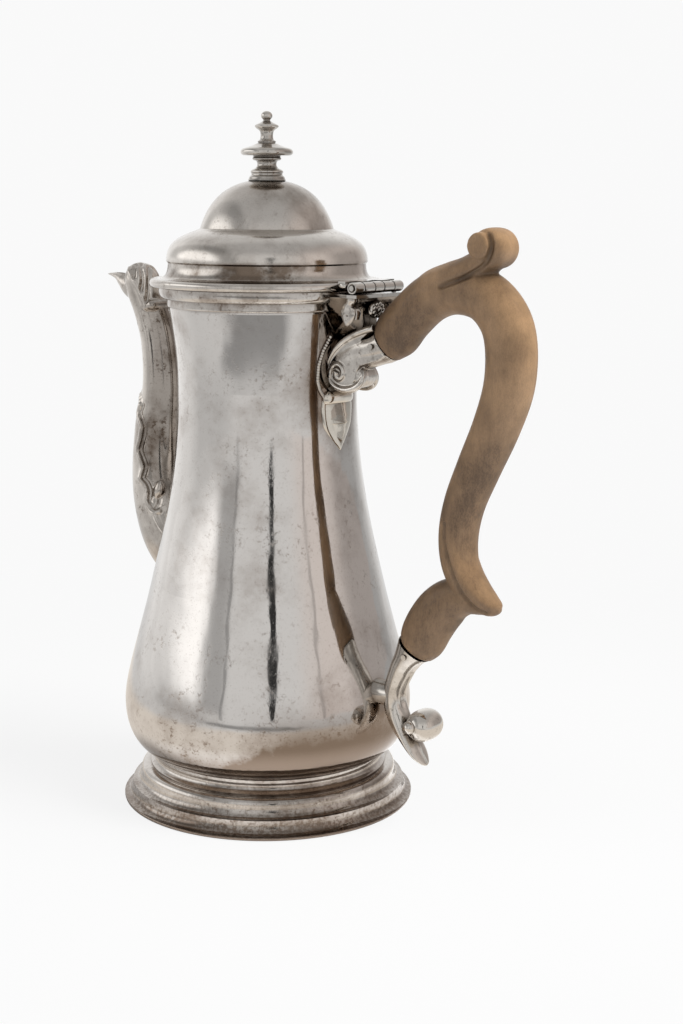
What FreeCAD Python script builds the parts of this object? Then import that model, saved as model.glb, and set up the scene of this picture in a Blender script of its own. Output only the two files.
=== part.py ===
import FreeCAD, Part
import math
import os

V = FreeCAD.Vector

# A silver coffee pot: a raised baluster body on a moulded foot, a hinged domed lid with a turned finial,
# a cast swan-neck spout and a carved wooden handle held in two cast sockets.
# Millimetres. The origin is the centre of the foot's base, +Z is up, the handle lies along +X and the
# spout along -X. Profiles are given as radius and height.

# Seams and fits
SEAM = 0.05
RUNNING_FIT = 0.05
LID_GAP = 0.3
BEZEL_CLEARANCE = 0.6
WOOD_GAP = 0.4
TENON_CLEARANCE = 0.1
PIN_CLEARANCE = 0.02
KNUCKLE_GAP = 0.15
HINGE_CLEARANCE = 0.3

# Points that each oval section is drawn through
OVAL_POINTS = 12

# Body: radius and height of the stations that the raised wall passes through, or their drop below the mouth,
# and how far the wall holds its direction on either side of each one
WALL = 1.2
NECK_RADIUS = 42.0
BELLY_RADIUS = 52.6
BELLY_HEIGHT = 37.0
FLANK_RADIUS = 42.4
FLANK_HEIGHT = 81.0
FLANK_LEAN = 0.235
WAIST_RADIUS = 32.2
WAIST_DROP = 35.0
MOUTH_RADIUS = 34.9
MOUTH_HEIGHT = 187.0
THROAT_DROP = 7.5
THROAT_LEAN = 0.16
UNDER_SLOPE = 0.35
UNDER_HOLD = 6.0
BELLY_HOLD_BELOW = 11.0
BELLY_HOLD_ABOVE = 9.0
FLANK_HOLD = 19.0
WAIST_HOLD_BELOW = 30.0
WAIST_HOLD_ABOVE = 12.0
THROAT_HOLD = 7.0

# Strainer holes in the wall behind the spout
STRAINER_RISE = 10.0
STRAINER_HOLE = 2.4
STRAINER_PITCH = 4.0
STRAINER_RINGS = 2

# Rim moulding round the mouth
RIM_WIDTH = 3.65
RIM_DEPTH = 6.8
RIM_FILLET = 0.7
RIM_OVOLO_DEPTH = 4.0
RIM_EDGE = 0.5

# Foot: a stepped shell on a rim wire, joined to the body by a reeded collar. The spreads are shares of the
# run from the crown, just outside the collar, to the rim
FOOT_RADIUS = 53.4
FOOT_WALL = 1.4
FOOT_TOP = 13.0
FOOT_BED = 6.0
FOOT_LEDGE = 1.4
FOOT_OVOLO_SPREAD = 0.36
FOOT_OVOLO_HEIGHT = 10.2
FOOT_STEP_SPREAD = 0.68
FOOT_STEP_HEIGHT = 6.2
FOOT_STEP_DROP = 0.7
FOOT_WIRE_HEIGHT = 1.5
FOOT_WIRE_WIDTH = 3.2
COLLAR_HEIGHT = 5.0
COLLAR_WIDTH = 4.5
COLLAR_BEAD = 0.8
COLLAR_LIP = 0.2

# Lid: a stepped dome with a flat flange, edged by a half-round wire, and a bezel that drops into the mouth.
# Each rise starts where the last one ends. Holds, turns and the sweep are shares of a curve's run or rise
LID_WALL = 1.0
LID_OVERHANG = 4.3
LID_WIRE_WIDTH = 2.6
LID_FLANGE_DEPTH = 2.9
LID_FLANGE_WIDTH = 3.5
LID_BAND_INSET = 0.6
LID_BAND_RISE = 6.0
LID_SHOULDER_WIDTH = 12.1
LID_SHOULDER_RISE = 11.4
LID_CREASE = 1.0
LID_DOME_RISE = 16.4
LID_SEAT_RADIUS = 6.4
LID_FLANGE_SWEEP = 0.3
LID_SHOULDER_HOLD = 0.65
LID_SHOULDER_TURN = (0.53, 0.2)
LID_DOME_HOLD = (0.1, 0.38)
LID_DOME_TURN = (0.62, 0.11)
BEZEL_WALL = 0.9
BEZEL_DROP = 4.0
BEZEL_RISE = 6.5

# Finial: heights above the lid's top, with the radius there
FINIAL_HEIGHT = 24.0
FINIAL_BASE_RADIUS = 6.2
FINIAL_BULGE = (7.1, 1.8)
FINIAL_SCOOP_HEIGHT = 2.2
FINIAL_STEM_RADIUS = 2.7
FINIAL_STEM_HEIGHT = 6.0
FINIAL_FLARE_RADIUS = 5.3
FINIAL_DISC_RADIUS = 8.6
FINIAL_DISC_HEIGHT = 11.0
FINIAL_DISC_THICKNESS = 2.0
FINIAL_WAIST_RADIUS = 1.8
FINIAL_TOP_DISC_RADIUS = 3.9
FINIAL_TOP_DISC_HEIGHT = 19.2
FINIAL_BUTTON_RADIUS = 1.8
FINIAL_NECK_RADIUS = 1.35
STUD_RADIUS = 1.6
NUT_RADIUS = 4.2
NUT_THICKNESS = 2.2
WASHER_RADIUS = 6.0
WASHER_THICKNESS = 0.8

# Hinge: five knuckles on one pin, on a shelf at the rim
HINGE_SETBACK = 6.2
HINGE_RISE = 1.8
KNUCKLE_RADIUS = 1.9
PIN_RADIUS = 0.9
BARREL_LENGTH = 27.8
KNUCKLES = 5
SHELF_THICKNESS = 1.1
SHELF_OVERHANG = 2.2
SHELF_ROOT_WIDTH = 16.0
LEAF_THICKNESS = 0.8
LEAF_LAP = 2.2
LEAF_LAP_WIDTH = 18.0
BRACKET_DEPTH = 3.6
BRACKET_WAIST_WIDTH = 20.0
BRACKET_FOOT_WIDTH = 13.0
BRACKET_FOOT_SINK = 1.5
BRACKET_BALL = 2.1
BRACKET_ROSETTE = 2.7

# Spout: stations of its path, each with x, z, half the depth in the path's plane and half the width. Those
# of the base are measured from the flank, and the others from the mouth. Those of the sweep lie evenly
# between the base and the neck, and have an offset towards the body in place of x and z
SPOUT_WALL = 1.4
SPOUT_ROOT = (9.4, 4.0, 19.5, 12.6)
SPOUT_BASE = [
    (-2.1, 11.5, 14.8, 12.6),
    (-8.6, 23.0, 11.8, 11.8),
    (-11.2, 36.0, 10.3, 10.5),
]
SPOUT_SWEEP = [
    (0.2, 8.8, 8.9),
    (1.6, 7.6, 7.5),
]
SPOUT_NECK = [
    (-18.1, -22.0, 7.0, 6.8),
    (-21.9, -10.5, 6.6, 6.5),
    (-25.7, -2.5, 6.3, 6.2),
]
SPOUT_HOOD = [
    (-27.5, 2.5, 5.4, 5.4),
    (-28.2, 5.8, 3.3, 3.3),
    (-28.4, 7.0, 0.8, 0.8),
]
SPOUT_ROOT_HEADING = 172.0
SPOUT_CROWN_HEADING = 99.0
SPOUT_LIP = [
    (-24.1, -4.6, 5.6, 5.2),
    (-32.1, -0.8, 3.8, 4.3),
    (-38.6, 1.2, 1.9, 2.5),
    (-43.9, 1.8, 0.5, 0.6),
]
LIP_ROOT_HEADING = 156.0
LIP_HEADING = 176.0
LIP_WALL = 0.9
LIP_CHANNEL_STEP = 1.1
SPOUT_KNOB = (-18.6, -8.0, 1.7, 3.6)

# Upper handle socket, measured from the body's waist: the wooden shoulder meets it on a plane tilted by the
# joint's heading
UPPER_JOINT_PLACE = (21.7, 18.4)
UPPER_HEADING = 36.0
UPPER_TENON_HEADING = 20.0
UPPER_MOUTH = (6.6, 5.7)
UPPER_MIDDLE_PLACE = (13.3, 16.4, 6.2, 6.4)
UPPER_ROOT_PLACE = (-2.2, 10.0, 8.8, 8.8)
UPPER_VOLUTE_PLACE = (7.6, 6.0, 4.8, 5.4)
UPPER_PLATE_WIDTH = 19.0
UPPER_PLATE_RISE = 20.0
UPPER_PLATE_DROP = 1.0
PLATE_THICKNESS = 1.0
DROP_LENGTH = 18.0
DROP_WIDTH = 11.0
DROP_TIP_WIDTH = 3.0
DROP_THICKNESS = 2.2

# Lower handle socket, measured from the widest part of the belly
LOWER_JOINT_PLACE = (15.0, 29.5)
LOWER_HEADING = 55.0
LOWER_MOUTH = (6.3, 5.7)
LOWER_STEM = [
    (9.0, 21.4, 4.7, 5.0),
    (5.5, 12.0, 4.0, 4.3),
    (6.6, 4.0, 4.1, 4.4),
    (11.4, -3.4, 3.2, 4.2),
    (18.6, -11.2, 0.9, 2.0),
]
LOWER_TIP_HEADING = -42.0
LOWER_VOLUTE_PLACE = (17.4, 2.3, 4.8, 5.2)
LOWER_EYE = 2.1
LOWER_NECK_WIDTH = 3.6
LOWER_PAD_RISE = 10.5
LOWER_PAD_RADIUS = 6.0
LOWER_PAD_TOP_RADIUS = 4.0

# Wooden handle: the stations of its top and thumb scroll are measured from the upper joint, and those of its
# foot, which ends in a spur, and of its arm from the lower joint. Those of the sweep lie evenly between
HANDLE_TOP = [
    (8.1, 8.6, 8.0, 7.2),
    (16.9, 15.6, 8.1, 7.7),
    (26.6, 18.8, 8.2, 8.0),
    (37.6, 17.2, 8.4, 8.0),
    (45.1, 10.6, 8.6, 8.0),
    (48.2, 1.6, 8.7, 8.0),
]
HANDLE_SWEEP = [
    (3.4, 8.5, 8.0),
    (3.0, 8.0, 7.7),
    (0.8, 7.5, 7.3),
    (-1.0, 7.0, 7.0),
]
HANDLE_FOOT = [
    (15.6, 40.5, 6.7, 6.8),
    (16.9, 30.3, 6.2, 6.5),
    (21.6, 22.4, 5.0, 5.8),
    (29.1, 18.1, 3.0, 4.6),
    (32.1, 17.0, 1.4, 2.6),
]
HANDLE_SPUR_HEADING = -14.0
HANDLE_ARM = [
    (20.4, 24.5, 5.0, 5.4),
    (13.7, 19.5, 7.6, 6.6),
    (5.9, 10.5, 7.6, 6.8),
]
ARM_HEADING = 205.0
SHOULDER_SWELL = 1.2
TENON_RADIUS = 3.6
TENON_LENGTH = 8.0
TENON_ROOT = 3.0
HANDLE_PIN_RADIUS = 1.0
HANDLE_PIN_SETBACK = 3.8
PIN_PROUD = 0.4
THUMB_PLACE = (40.1, 32.6)
THUMB_REACH = 5.8
THUMB_HEIGHT = 6.0
THUMB_HALF_WIDTH = 5.8
THUMB_ROUND = 1.6
THUMB_STEM = [
    (38.6, 17.2, 6.8, 6.2),
    (40.7, 26.6, 3.4, 4.4),
    (40.1, 32.6, 3.4, 4.4),
]


# Stations
def moved(stations, anchor):
    """Stations that are measured from an anchor, placed in the pot's frame."""
    return [(anchor[0] + x, anchor[1] + z) + tuple(sizes) for x, z, *sizes in stations]


def spaced(first, last, sweep):
    """Stations evenly between two others, each moved along X from the straight line by its offset."""
    found = []
    for i, (offset, half_depth, half_width) in enumerate(sweep, 1):
        share = i / (len(sweep) + 1)
        x = first[0] + share * (last[0] - first[0]) + offset
        z = first[1] + share * (last[1] - first[1])
        found.append((x, z, half_depth, half_width))
    return found


# Places that follow from the sizes above
FLOOR_HEIGHT = FOOT_TOP + COLLAR_HEIGHT
THROAT_HEIGHT = MOUTH_HEIGHT - THROAT_DROP
RIM_RADIUS = MOUTH_RADIUS + SEAM + RIM_WIDTH
FLANK = (-FLANK_RADIUS, FLANK_HEIGHT)
MOUTH = (-MOUTH_RADIUS, MOUTH_HEIGHT)
WAIST = (WAIST_RADIUS, MOUTH_HEIGHT - WAIST_DROP)
BELLY = (BELLY_RADIUS, BELLY_HEIGHT)
FOOT_CROWN_RADIUS = NECK_RADIUS + FOOT_LEDGE
FOOT_RUN = FOOT_RADIUS - FOOT_CROWN_RADIUS
LID_SEAT = MOUTH_HEIGHT + LID_GAP
FLANGE_TOP = LID_SEAT + LID_FLANGE_DEPTH
LID_SHOULDER_HEIGHT = FLANGE_TOP + LID_BAND_RISE
LID_DOME_HEIGHT = LID_SHOULDER_HEIGHT + LID_SHOULDER_RISE
LID_TOP_HEIGHT = LID_DOME_HEIGHT + LID_DOME_RISE
LID_FLANGE_RADIUS = MOUTH_RADIUS + LID_OVERHANG
LID_WIRE_RADIUS = LID_FLANGE_RADIUS + LID_WIRE_WIDTH
LID_SHOULDER_RADIUS = LID_FLANGE_RADIUS - LID_FLANGE_WIDTH
LID_DOME_RADIUS = LID_SHOULDER_RADIUS - LID_SHOULDER_WIDTH
BAND_RADIUS = LID_SHOULDER_RADIUS - LID_BAND_INSET
BEZEL_RADIUS = MOUTH_RADIUS - WALL - BEZEL_CLEARANCE
HINGE_X = LID_WIRE_RADIUS + HINGE_SETBACK
HINGE_Z = MOUTH_HEIGHT + HINGE_RISE
SHELF_TOP = HINGE_Z - KNUCKLE_RADIUS - HINGE_CLEARANCE
HALF_BARREL = BARREL_LENGTH / 2
LEAF_EDGE_X = HINGE_X - KNUCKLE_RADIUS - 2 * HINGE_CLEARANCE
LEAF_TOP = FLANGE_TOP + LEAF_THICKNESS
UPPER_JOINT, UPPER_MIDDLE, UPPER_ROOT, UPPER_VOLUTE = moved(
    [UPPER_JOINT_PLACE, UPPER_MIDDLE_PLACE, UPPER_ROOT_PLACE, UPPER_VOLUTE_PLACE], WAIST)
UPPER_PLATE_TOP = WAIST[1] + UPPER_PLATE_RISE
UPPER_PLATE_BOTTOM = WAIST[1] - UPPER_PLATE_DROP
LOWER_JOINT, LOWER_VOLUTE = moved([LOWER_JOINT_PLACE, LOWER_VOLUTE_PLACE], BELLY)
LOWER_PATH = moved(LOWER_STEM, BELLY)
LOWER_PAD_HEIGHT = BELLY_HEIGHT + LOWER_PAD_RISE


# Outlines and sections
def at(radius, height):
    return V(radius, 0, height)


def line(start, end):
    return Part.LineSegment(at(*start), at(*end)).toShape()


def arc(start, middle, end):
    return Part.Arc(at(*start), at(*middle), at(*end)).toShape()


def curve(*poles):
    bezier = Part.BezierCurve()
    bezier.setPoles([at(*pole) for pole in poles])
    return bezier.toShape()


def turned(edges):
    """A solid turned about the pot's axis from the edges of a closed outline."""
    return Part.Face(Part.Wire(edges)).revolve(V(0, 0, 0), V(0, 0, 1), 360)


def filled(edges):
    """A solid turned from an open outline that runs upwards, closed flat to the axis at both ends."""
    bottom = edges[0].Vertexes[0].Point
    top = edges[-1].Vertexes[-1].Point
    closing = [
        line((top.x, top.z), (0, top.z)),
        line((0, top.z), (0, bottom.z)),
        line((0, bottom.z), (bottom.x, bottom.z)),
    ]
    return turned(edges + closing)


def ring(inner, outer, bottom, top):
    tube = Part.makeCylinder(outer, top - bottom, V(0, 0, bottom))
    return tube.cut(Part.makeCylinder(inner, top - bottom, V(0, 0, bottom)))


def smooth_oval(place):
    """The unit circle of the XY plane under the given matrix, as one smooth closed curve."""
    angles = [2 * math.pi * i / OVAL_POINTS for i in range(OVAL_POINTS)]
    spline = Part.BSplineCurve()
    spline.interpolate([place.multVec(V(math.cos(a), math.sin(a), 0)) for a in angles], PeriodicFlag=True)
    return Part.Wire([spline.toShape()])


def oval(station, heading):
    """An oval wire square to a path in the XZ plane that runs at the heading, in degrees."""
    x, z, half_depth, half_width = station
    turn = math.radians(heading)
    up_x = -math.sin(turn) * half_depth
    up_z = math.cos(turn) * half_depth
    place = FreeCAD.Matrix(
        0, up_x, math.cos(turn), x,
        half_width, 0, 0, 0,
        0, up_z, math.sin(turn), z,
        0, 0, 0, 1)
    return smooth_oval(place)


def headings(stations, first, last):
    """The path's direction at each station, from its neighbours, with the two ends given."""
    found = [first]
    for before, after in zip(stations, stations[2:]):
        angle = math.degrees(math.atan2(after[1] - before[1], after[0] - before[0]))
        found.append(found[-1] + (angle - found[-1] + 180) % 360 - 180)
    found.append(found[-1] + (last - found[-1] + 180) % 360 - 180)
    return found


def limb(stations, first, last):
    """A solid that swells and tapers along a path in the XZ plane."""
    turns = headings(stations, first, last)
    sections = [oval(station, turn) for station, turn in zip(stations, turns)]
    return Part.makeLoft(sections, True)


def roll(x, z, radius, half_width):
    """A scroll's roll, lying across the pot."""
    return Part.makeCylinder(radius, 2 * half_width, V(x, -half_width, z), V(0, 1, 0))


def rounded(solid, radius):
    return solid.makeFillet(radius, solid.Edges)


def block(x_range, y_range, z_range):
    low = V(x_range[0], y_range[0], z_range[0])
    return Part.makeBox(x_range[1] - x_range[0], y_range[1] - y_range[0], z_range[1] - z_range[0], low)


def thinner(stations, wall):
    return [(x, z, depth - wall, width - wall) for x, z, depth, width in stations]


# Body
def wall_edges(inset):
    """The wall's outline from the floor to the mouth, moved in by the inset."""
    floor = (NECK_RADIUS - inset, FLOOR_HEIGHT + inset)
    belly = (BELLY_RADIUS - inset, BELLY_HEIGHT)
    flank = (FLANK_RADIUS - inset, FLANK_HEIGHT)
    waist = (WAIST[0] - inset, WAIST[1])
    throat = (MOUTH_RADIUS - inset, THROAT_HEIGHT)
    mouth = (MOUTH_RADIUS - inset, MOUTH_HEIGHT)
    under = (floor[0] + UNDER_HOLD, floor[1] + UNDER_HOLD * UNDER_SLOPE)
    flank_below = (flank[0] + FLANK_LEAN * FLANK_HOLD, flank[1] - FLANK_HOLD)
    flank_above = (flank[0] - FLANK_LEAN * FLANK_HOLD, flank[1] + FLANK_HOLD)
    throat_below = (throat[0] - THROAT_LEAN * THROAT_HOLD, throat[1] - THROAT_HOLD)
    return [
        curve(floor, under, (belly[0], belly[1] - BELLY_HOLD_BELOW), belly),
        curve(belly, (belly[0], belly[1] + BELLY_HOLD_ABOVE), flank_below, flank),
        curve(flank, flank_above, (waist[0], waist[1] - WAIST_HOLD_BELOW), waist),
        curve(waist, (waist[0], waist[1] + WAIST_HOLD_ABOVE), throat_below, throat),
        line(throat, mouth),
    ]


def strainer_holes():
    """A hexagonal pattern of drilled holes through the wall on the spout's side."""
    row_rise = STRAINER_PITCH * math.sqrt(3) / 2
    holes = []
    for row in range(-STRAINER_RINGS, STRAINER_RINGS + 1):
        count = 2 * STRAINER_RINGS + 1 - abs(row)
        for column in range(count):
            y = (column - (count - 1) / 2) * STRAINER_PITCH
            start = V(-BELLY_RADIUS, y, FLANK_HEIGHT + STRAINER_RISE + row * row_rise)
            holes.append(Part.makeCylinder(STRAINER_HOLE / 2, BELLY_RADIUS, start, V(1, 0, 0)))
    return holes


def make_body():
    shell = filled(wall_edges(0)).cut(filled(wall_edges(WALL)))
    return shell.cut(strainer_holes())


def make_rim_moulding():
    inner = MOUTH_RADIUS + SEAM
    fillet_top = MOUTH_HEIGHT - RIM_OVOLO_DEPTH
    bottom = MOUTH_HEIGHT - RIM_DEPTH
    waist = inner + RIM_FILLET
    return turned([
        line((inner, MOUTH_HEIGHT), (inner, bottom)),
        curve((inner, bottom), (waist, bottom), (waist, bottom + RIM_FILLET)),
        line((waist, bottom + RIM_FILLET), (waist, fillet_top)),
        curve((waist, fillet_top), (RIM_RADIUS, fillet_top), (RIM_RADIUS, MOUTH_HEIGHT - RIM_EDGE)),
        line((RIM_RADIUS, MOUTH_HEIGHT - RIM_EDGE), (RIM_RADIUS, MOUTH_HEIGHT)),
        line((RIM_RADIUS, MOUTH_HEIGHT), (inner, MOUTH_HEIGHT)),
    ])


# Foot
def foot_edges(inset):
    """The foot's outline from the rim wire up to the crown under the collar, moved in by the inset."""
    edge = (FOOT_RADIUS - inset, FOOT_WIRE_HEIGHT - inset)
    crown = (FOOT_CROWN_RADIUS - inset, FOOT_TOP - inset)
    ledge = (crown[0] + FOOT_STEP_SPREAD * FOOT_RUN, FOOT_STEP_HEIGHT - inset)
    step = (ledge[0], ledge[1] - FOOT_STEP_DROP)
    ovolo = (crown[0] + FOOT_OVOLO_SPREAD * FOOT_RUN, FOOT_OVOLO_HEIGHT - inset)
    return [
        curve(edge, (step[0], edge[1]), step),
        line(step, ledge),
        curve(ledge, (ovolo[0], ledge[1]), ovolo),
        curve(ovolo, (ovolo[0], crown[1]), crown),
    ]


def make_foot():
    shell = filled(foot_edges(0)).cut(filled(foot_edges(FOOT_WALL)))
    return shell.cut(Part.makeCylinder(NECK_RADIUS - FOOT_BED, FOOT_TOP))


def make_foot_wire():
    inner = FOOT_RADIUS - FOOT_WIRE_WIDTH
    half = FOOT_WIRE_HEIGHT / 2
    return turned([
        line((inner, 0), (FOOT_RADIUS - half, 0)),
        arc((FOOT_RADIUS - half, 0), (FOOT_RADIUS, half), (FOOT_RADIUS - half, FOOT_WIRE_HEIGHT)),
        line((FOOT_RADIUS - half, FOOT_WIRE_HEIGHT), (inner, FOOT_WIRE_HEIGHT)),
        line((inner, FOOT_WIRE_HEIGHT), (inner, 0)),
    ])


def make_foot_collar():
    inner = NECK_RADIUS - COLLAR_WIDTH
    lower = FOOT_TOP + COLLAR_LIP
    upper = FLOOR_HEIGHT - COLLAR_LIP
    lower_top = lower + 2 * COLLAR_BEAD
    upper_bottom = upper - 2 * COLLAR_BEAD
    cove = (NECK_RADIUS - COLLAR_BEAD / 2, (lower_top + upper_bottom) / 2)
    crest = NECK_RADIUS + COLLAR_BEAD
    return turned([
        line((inner, FOOT_TOP), (NECK_RADIUS, FOOT_TOP)),
        line((NECK_RADIUS, FOOT_TOP), (NECK_RADIUS, lower)),
        arc((NECK_RADIUS, lower), (crest, lower + COLLAR_BEAD), (NECK_RADIUS, lower_top)),
        arc((NECK_RADIUS, lower_top), cove, (NECK_RADIUS, upper_bottom)),
        arc((NECK_RADIUS, upper_bottom), (crest, upper - COLLAR_BEAD), (NECK_RADIUS, upper)),
        line((NECK_RADIUS, upper), (NECK_RADIUS, FLOOR_HEIGHT)),
        line((NECK_RADIUS, FLOOR_HEIGHT), (inner, FLOOR_HEIGHT)),
        line((inner, FLOOR_HEIGHT), (inner, FOOT_TOP)),
    ])


# Lid
def dome_edges(inset):
    """The lid's outline from the shoulder's foot to the finial's seat, moved in by the inset."""
    foot = (LID_SHOULDER_RADIUS - inset, LID_SHOULDER_HEIGHT)
    crease = (LID_DOME_RADIUS + LID_CREASE - inset, LID_DOME_HEIGHT - LID_CREASE / 2 - inset)
    spring = (LID_DOME_RADIUS - inset, LID_DOME_HEIGHT - inset / 2)
    seat = (LID_SEAT_RADIUS, LID_TOP_HEIGHT - inset)
    rise = seat[1] - spring[1]
    run = spring[0] - seat[0]
    fall = crease[1] - foot[1]
    reach = foot[0] - crease[0]
    shoulder_low = (foot[0], foot[1] + LID_SHOULDER_HOLD * fall)
    shoulder_high = (crease[0] + LID_SHOULDER_TURN[0] * reach, crease[1] - LID_SHOULDER_TURN[1] * fall)
    dome_low = (spring[0] - LID_DOME_HOLD[0] * run, spring[1] + LID_DOME_HOLD[1] * rise)
    dome_high = (seat[0] + LID_DOME_TURN[0] * run, seat[1] - LID_DOME_TURN[1] * rise)
    return [
        curve(foot, shoulder_low, shoulder_high, crease),
        line(crease, spring),
        curve(spring, dome_low, dome_high, seat),
    ]


def make_lid():
    base = (LID_FLANGE_RADIUS, LID_SEAT)
    rim = (LID_FLANGE_RADIUS, FLANGE_TOP)
    band = (BAND_RADIUS, LID_SHOULDER_HEIGHT - LID_BAND_INSET)
    foot = (LID_SHOULDER_RADIUS, LID_SHOULDER_HEIGHT)
    sweep_low = (band[0] + LID_FLANGE_SWEEP * (rim[0] - band[0]), rim[1])
    sweep_high = (band[0], rim[1] + LID_FLANGE_SWEEP * (band[1] - rim[1]))
    outer = [line(base, rim), curve(rim, sweep_low, sweep_high, band), line(band, foot)]
    well = Part.makeCylinder(BEZEL_RADIUS + SEAM, LID_SHOULDER_HEIGHT - LID_SEAT, V(0, 0, LID_SEAT))
    stud_hole = Part.makeCylinder(STUD_RADIUS + SEAM, LID_TOP_HEIGHT)
    return filled(outer + dome_edges(0)).cut([filled(dome_edges(LID_WALL)), well, stud_hole])


def make_lid_wire():
    inner = LID_FLANGE_RADIUS + SEAM
    half = (FLANGE_TOP - LID_SEAT) / 2
    flat = LID_WIRE_RADIUS - half
    return turned([
        line((inner, LID_SEAT), (flat, LID_SEAT)),
        arc((flat, LID_SEAT), (LID_WIRE_RADIUS, LID_SEAT + half), (flat, FLANGE_TOP)),
        line((flat, FLANGE_TOP), (inner, FLANGE_TOP)),
        line((inner, FLANGE_TOP), (inner, LID_SEAT)),
    ])


def make_lid_bezel():
    return ring(BEZEL_RADIUS - BEZEL_WALL, BEZEL_RADIUS, MOUTH_HEIGHT - BEZEL_DROP, LID_SEAT + BEZEL_RISE)


def make_finial():
    """The turned finial, with the stud that passes through the lid."""
    base = LID_TOP_HEIGHT
    disc = base + FINIAL_DISC_HEIGHT
    half_disc = FINIAL_DISC_THICKNESS / 2
    under = disc - half_disc
    over = disc + half_disc
    top_disc = base + FINIAL_TOP_DISC_HEIGHT
    button = base + FINIAL_HEIGHT - FINIAL_BUTTON_RADIUS
    neck_drop = math.sqrt(FINIAL_BUTTON_RADIUS ** 2 - FINIAL_NECK_RADIUS ** 2)
    seat = (FINIAL_BASE_RADIUS, base)
    bulge = (FINIAL_BULGE[0], base + FINIAL_BULGE[1])
    scoop = (FINIAL_STEM_RADIUS, base + FINIAL_SCOOP_HEIGHT)
    stem = (FINIAL_STEM_RADIUS, base + FINIAL_STEM_HEIGHT)
    flare = (FINIAL_FLARE_RADIUS, under - half_disc)
    disc_low = (FINIAL_DISC_RADIUS - half_disc, under)
    disc_high = (FINIAL_DISC_RADIUS - half_disc, over)
    waist = (FINIAL_WAIST_RADIUS, (over + top_disc) / 2)
    brim = (FINIAL_TOP_DISC_RADIUS, top_disc)
    ball = (FINIAL_NECK_RADIUS, button - neck_drop)
    tip = (0, base + FINIAL_HEIGHT)
    stud_end = base - LID_WALL - WASHER_THICKNESS - NUT_THICKNESS
    return turned([
        line((0, stud_end), (STUD_RADIUS, stud_end)),
        line((STUD_RADIUS, stud_end), (STUD_RADIUS, base)),
        line((STUD_RADIUS, base), seat),
        curve(seat, bulge, scoop, stem),
        curve(stem, (FINIAL_STEM_RADIUS, under), flare, disc_low),
        arc(disc_low, (FINIAL_DISC_RADIUS, disc), disc_high),
        curve(disc_high, (FINIAL_WAIST_RADIUS, over), waist),
        curve(waist, (FINIAL_WAIST_RADIUS, top_disc - half_disc), brim),
        curve(brim, (FINIAL_NECK_RADIUS, top_disc + half_disc), ball),
        arc(ball, (FINIAL_BUTTON_RADIUS, button), tip),
        line(tip, (0, stud_end)),
    ])


def make_finial_washer():
    top = LID_TOP_HEIGHT - LID_WALL
    return ring(STUD_RADIUS + SEAM, WASHER_RADIUS, top - WASHER_THICKNESS, top)


def make_finial_nut():
    top = LID_TOP_HEIGHT - LID_WALL - WASHER_THICKNESS
    bottom = top - NUT_THICKNESS
    angles = [math.radians(60 * i) for i in range(7)]
    corners = [V(NUT_RADIUS * math.cos(a), NUT_RADIUS * math.sin(a), bottom) for a in angles]
    hexagon = Part.Face(Part.makePolygon(corners)).extrude(V(0, 0, NUT_THICKNESS))
    return hexagon.cut(Part.makeCylinder(STUD_RADIUS + SEAM, NUT_THICKNESS, V(0, 0, bottom)))


# Hinge
def rim_envelope():
    """The rim moulding and the body filled to the axis, for seating what is soldered to them."""
    inside = Part.makeCylinder(MOUTH_RADIUS + SEAM, RIM_DEPTH, V(0, 0, MOUTH_HEIGHT - RIM_DEPTH))
    return make_rim_moulding().fuse(inside)


def knuckle_spans():
    """The stretch of the barrel that each knuckle takes, from -Y to +Y."""
    pitch = BARREL_LENGTH / KNUCKLES
    starts = [-HALF_BARREL + i * pitch for i in range(KNUCKLES)]
    return [(start + KNUCKLE_GAP / 2, start + pitch - KNUCKLE_GAP / 2) for start in starts]


def knuckle(span, foot):
    """One knuckle, fused to the foot that fixes it, and bored for the pin."""
    y, end = span
    barrel = Part.makeCylinder(KNUCKLE_RADIUS, end - y, V(HINGE_X, y, HINGE_Z), V(0, 1, 0))
    bore = Part.makeCylinder(PIN_RADIUS + RUNNING_FIT, end - y, V(HINGE_X, y, HINGE_Z), V(0, 1, 0))
    return barrel.fuse(foot).cut(bore)


def make_body_knuckles():
    solids = []
    for span in knuckle_spans()[0::2]:
        foot = block((HINGE_X - KNUCKLE_RADIUS, HINGE_X + KNUCKLE_RADIUS), span, (SHELF_TOP, HINGE_Z))
        solids.append(knuckle(span, foot))
    return Part.makeCompound(solids)


def make_lid_knuckles():
    solids = []
    for span in knuckle_spans()[1::2]:
        tongue = block((LEAF_EDGE_X, HINGE_X), span, (FLANGE_TOP, LEAF_TOP))
        solids.append(knuckle(span, tongue))
    return Part.makeCompound(solids)


def make_hinge_pin():
    return Part.makeCylinder(PIN_RADIUS, BARREL_LENGTH, V(HINGE_X, -HALF_BARREL, HINGE_Z), V(0, 1, 0))


def tapered_plate(inner, middle, outer, inner_width, bottom, thickness):
    """A level plate as wide as the barrel from the middle outwards, and narrowing inwards from there."""
    half = inner_width / 2
    side = [(inner, half), (middle, HALF_BARREL), (outer, HALF_BARREL)]
    corners = side + [(x, -y) for x, y in reversed(side)] + side[:1]
    outline = Part.makePolygon([V(x, y, bottom) for x, y in corners])
    return Part.Face(outline).extrude(V(0, 0, thickness))


def make_hinge_leaf(lid):
    """The plate that joins the lid's flange to its knuckles."""
    inner = LID_WIRE_RADIUS - LEAF_LAP
    middle = (inner + LEAF_EDGE_X) / 2
    plate = tapered_plate(inner, middle, LEAF_EDGE_X, LEAF_LAP_WIDTH, FLANGE_TOP, LEAF_THICKNESS).cut(lid)
    return max(plate.Solids, key=lambda solid: solid.CenterOfMass.x)


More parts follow.
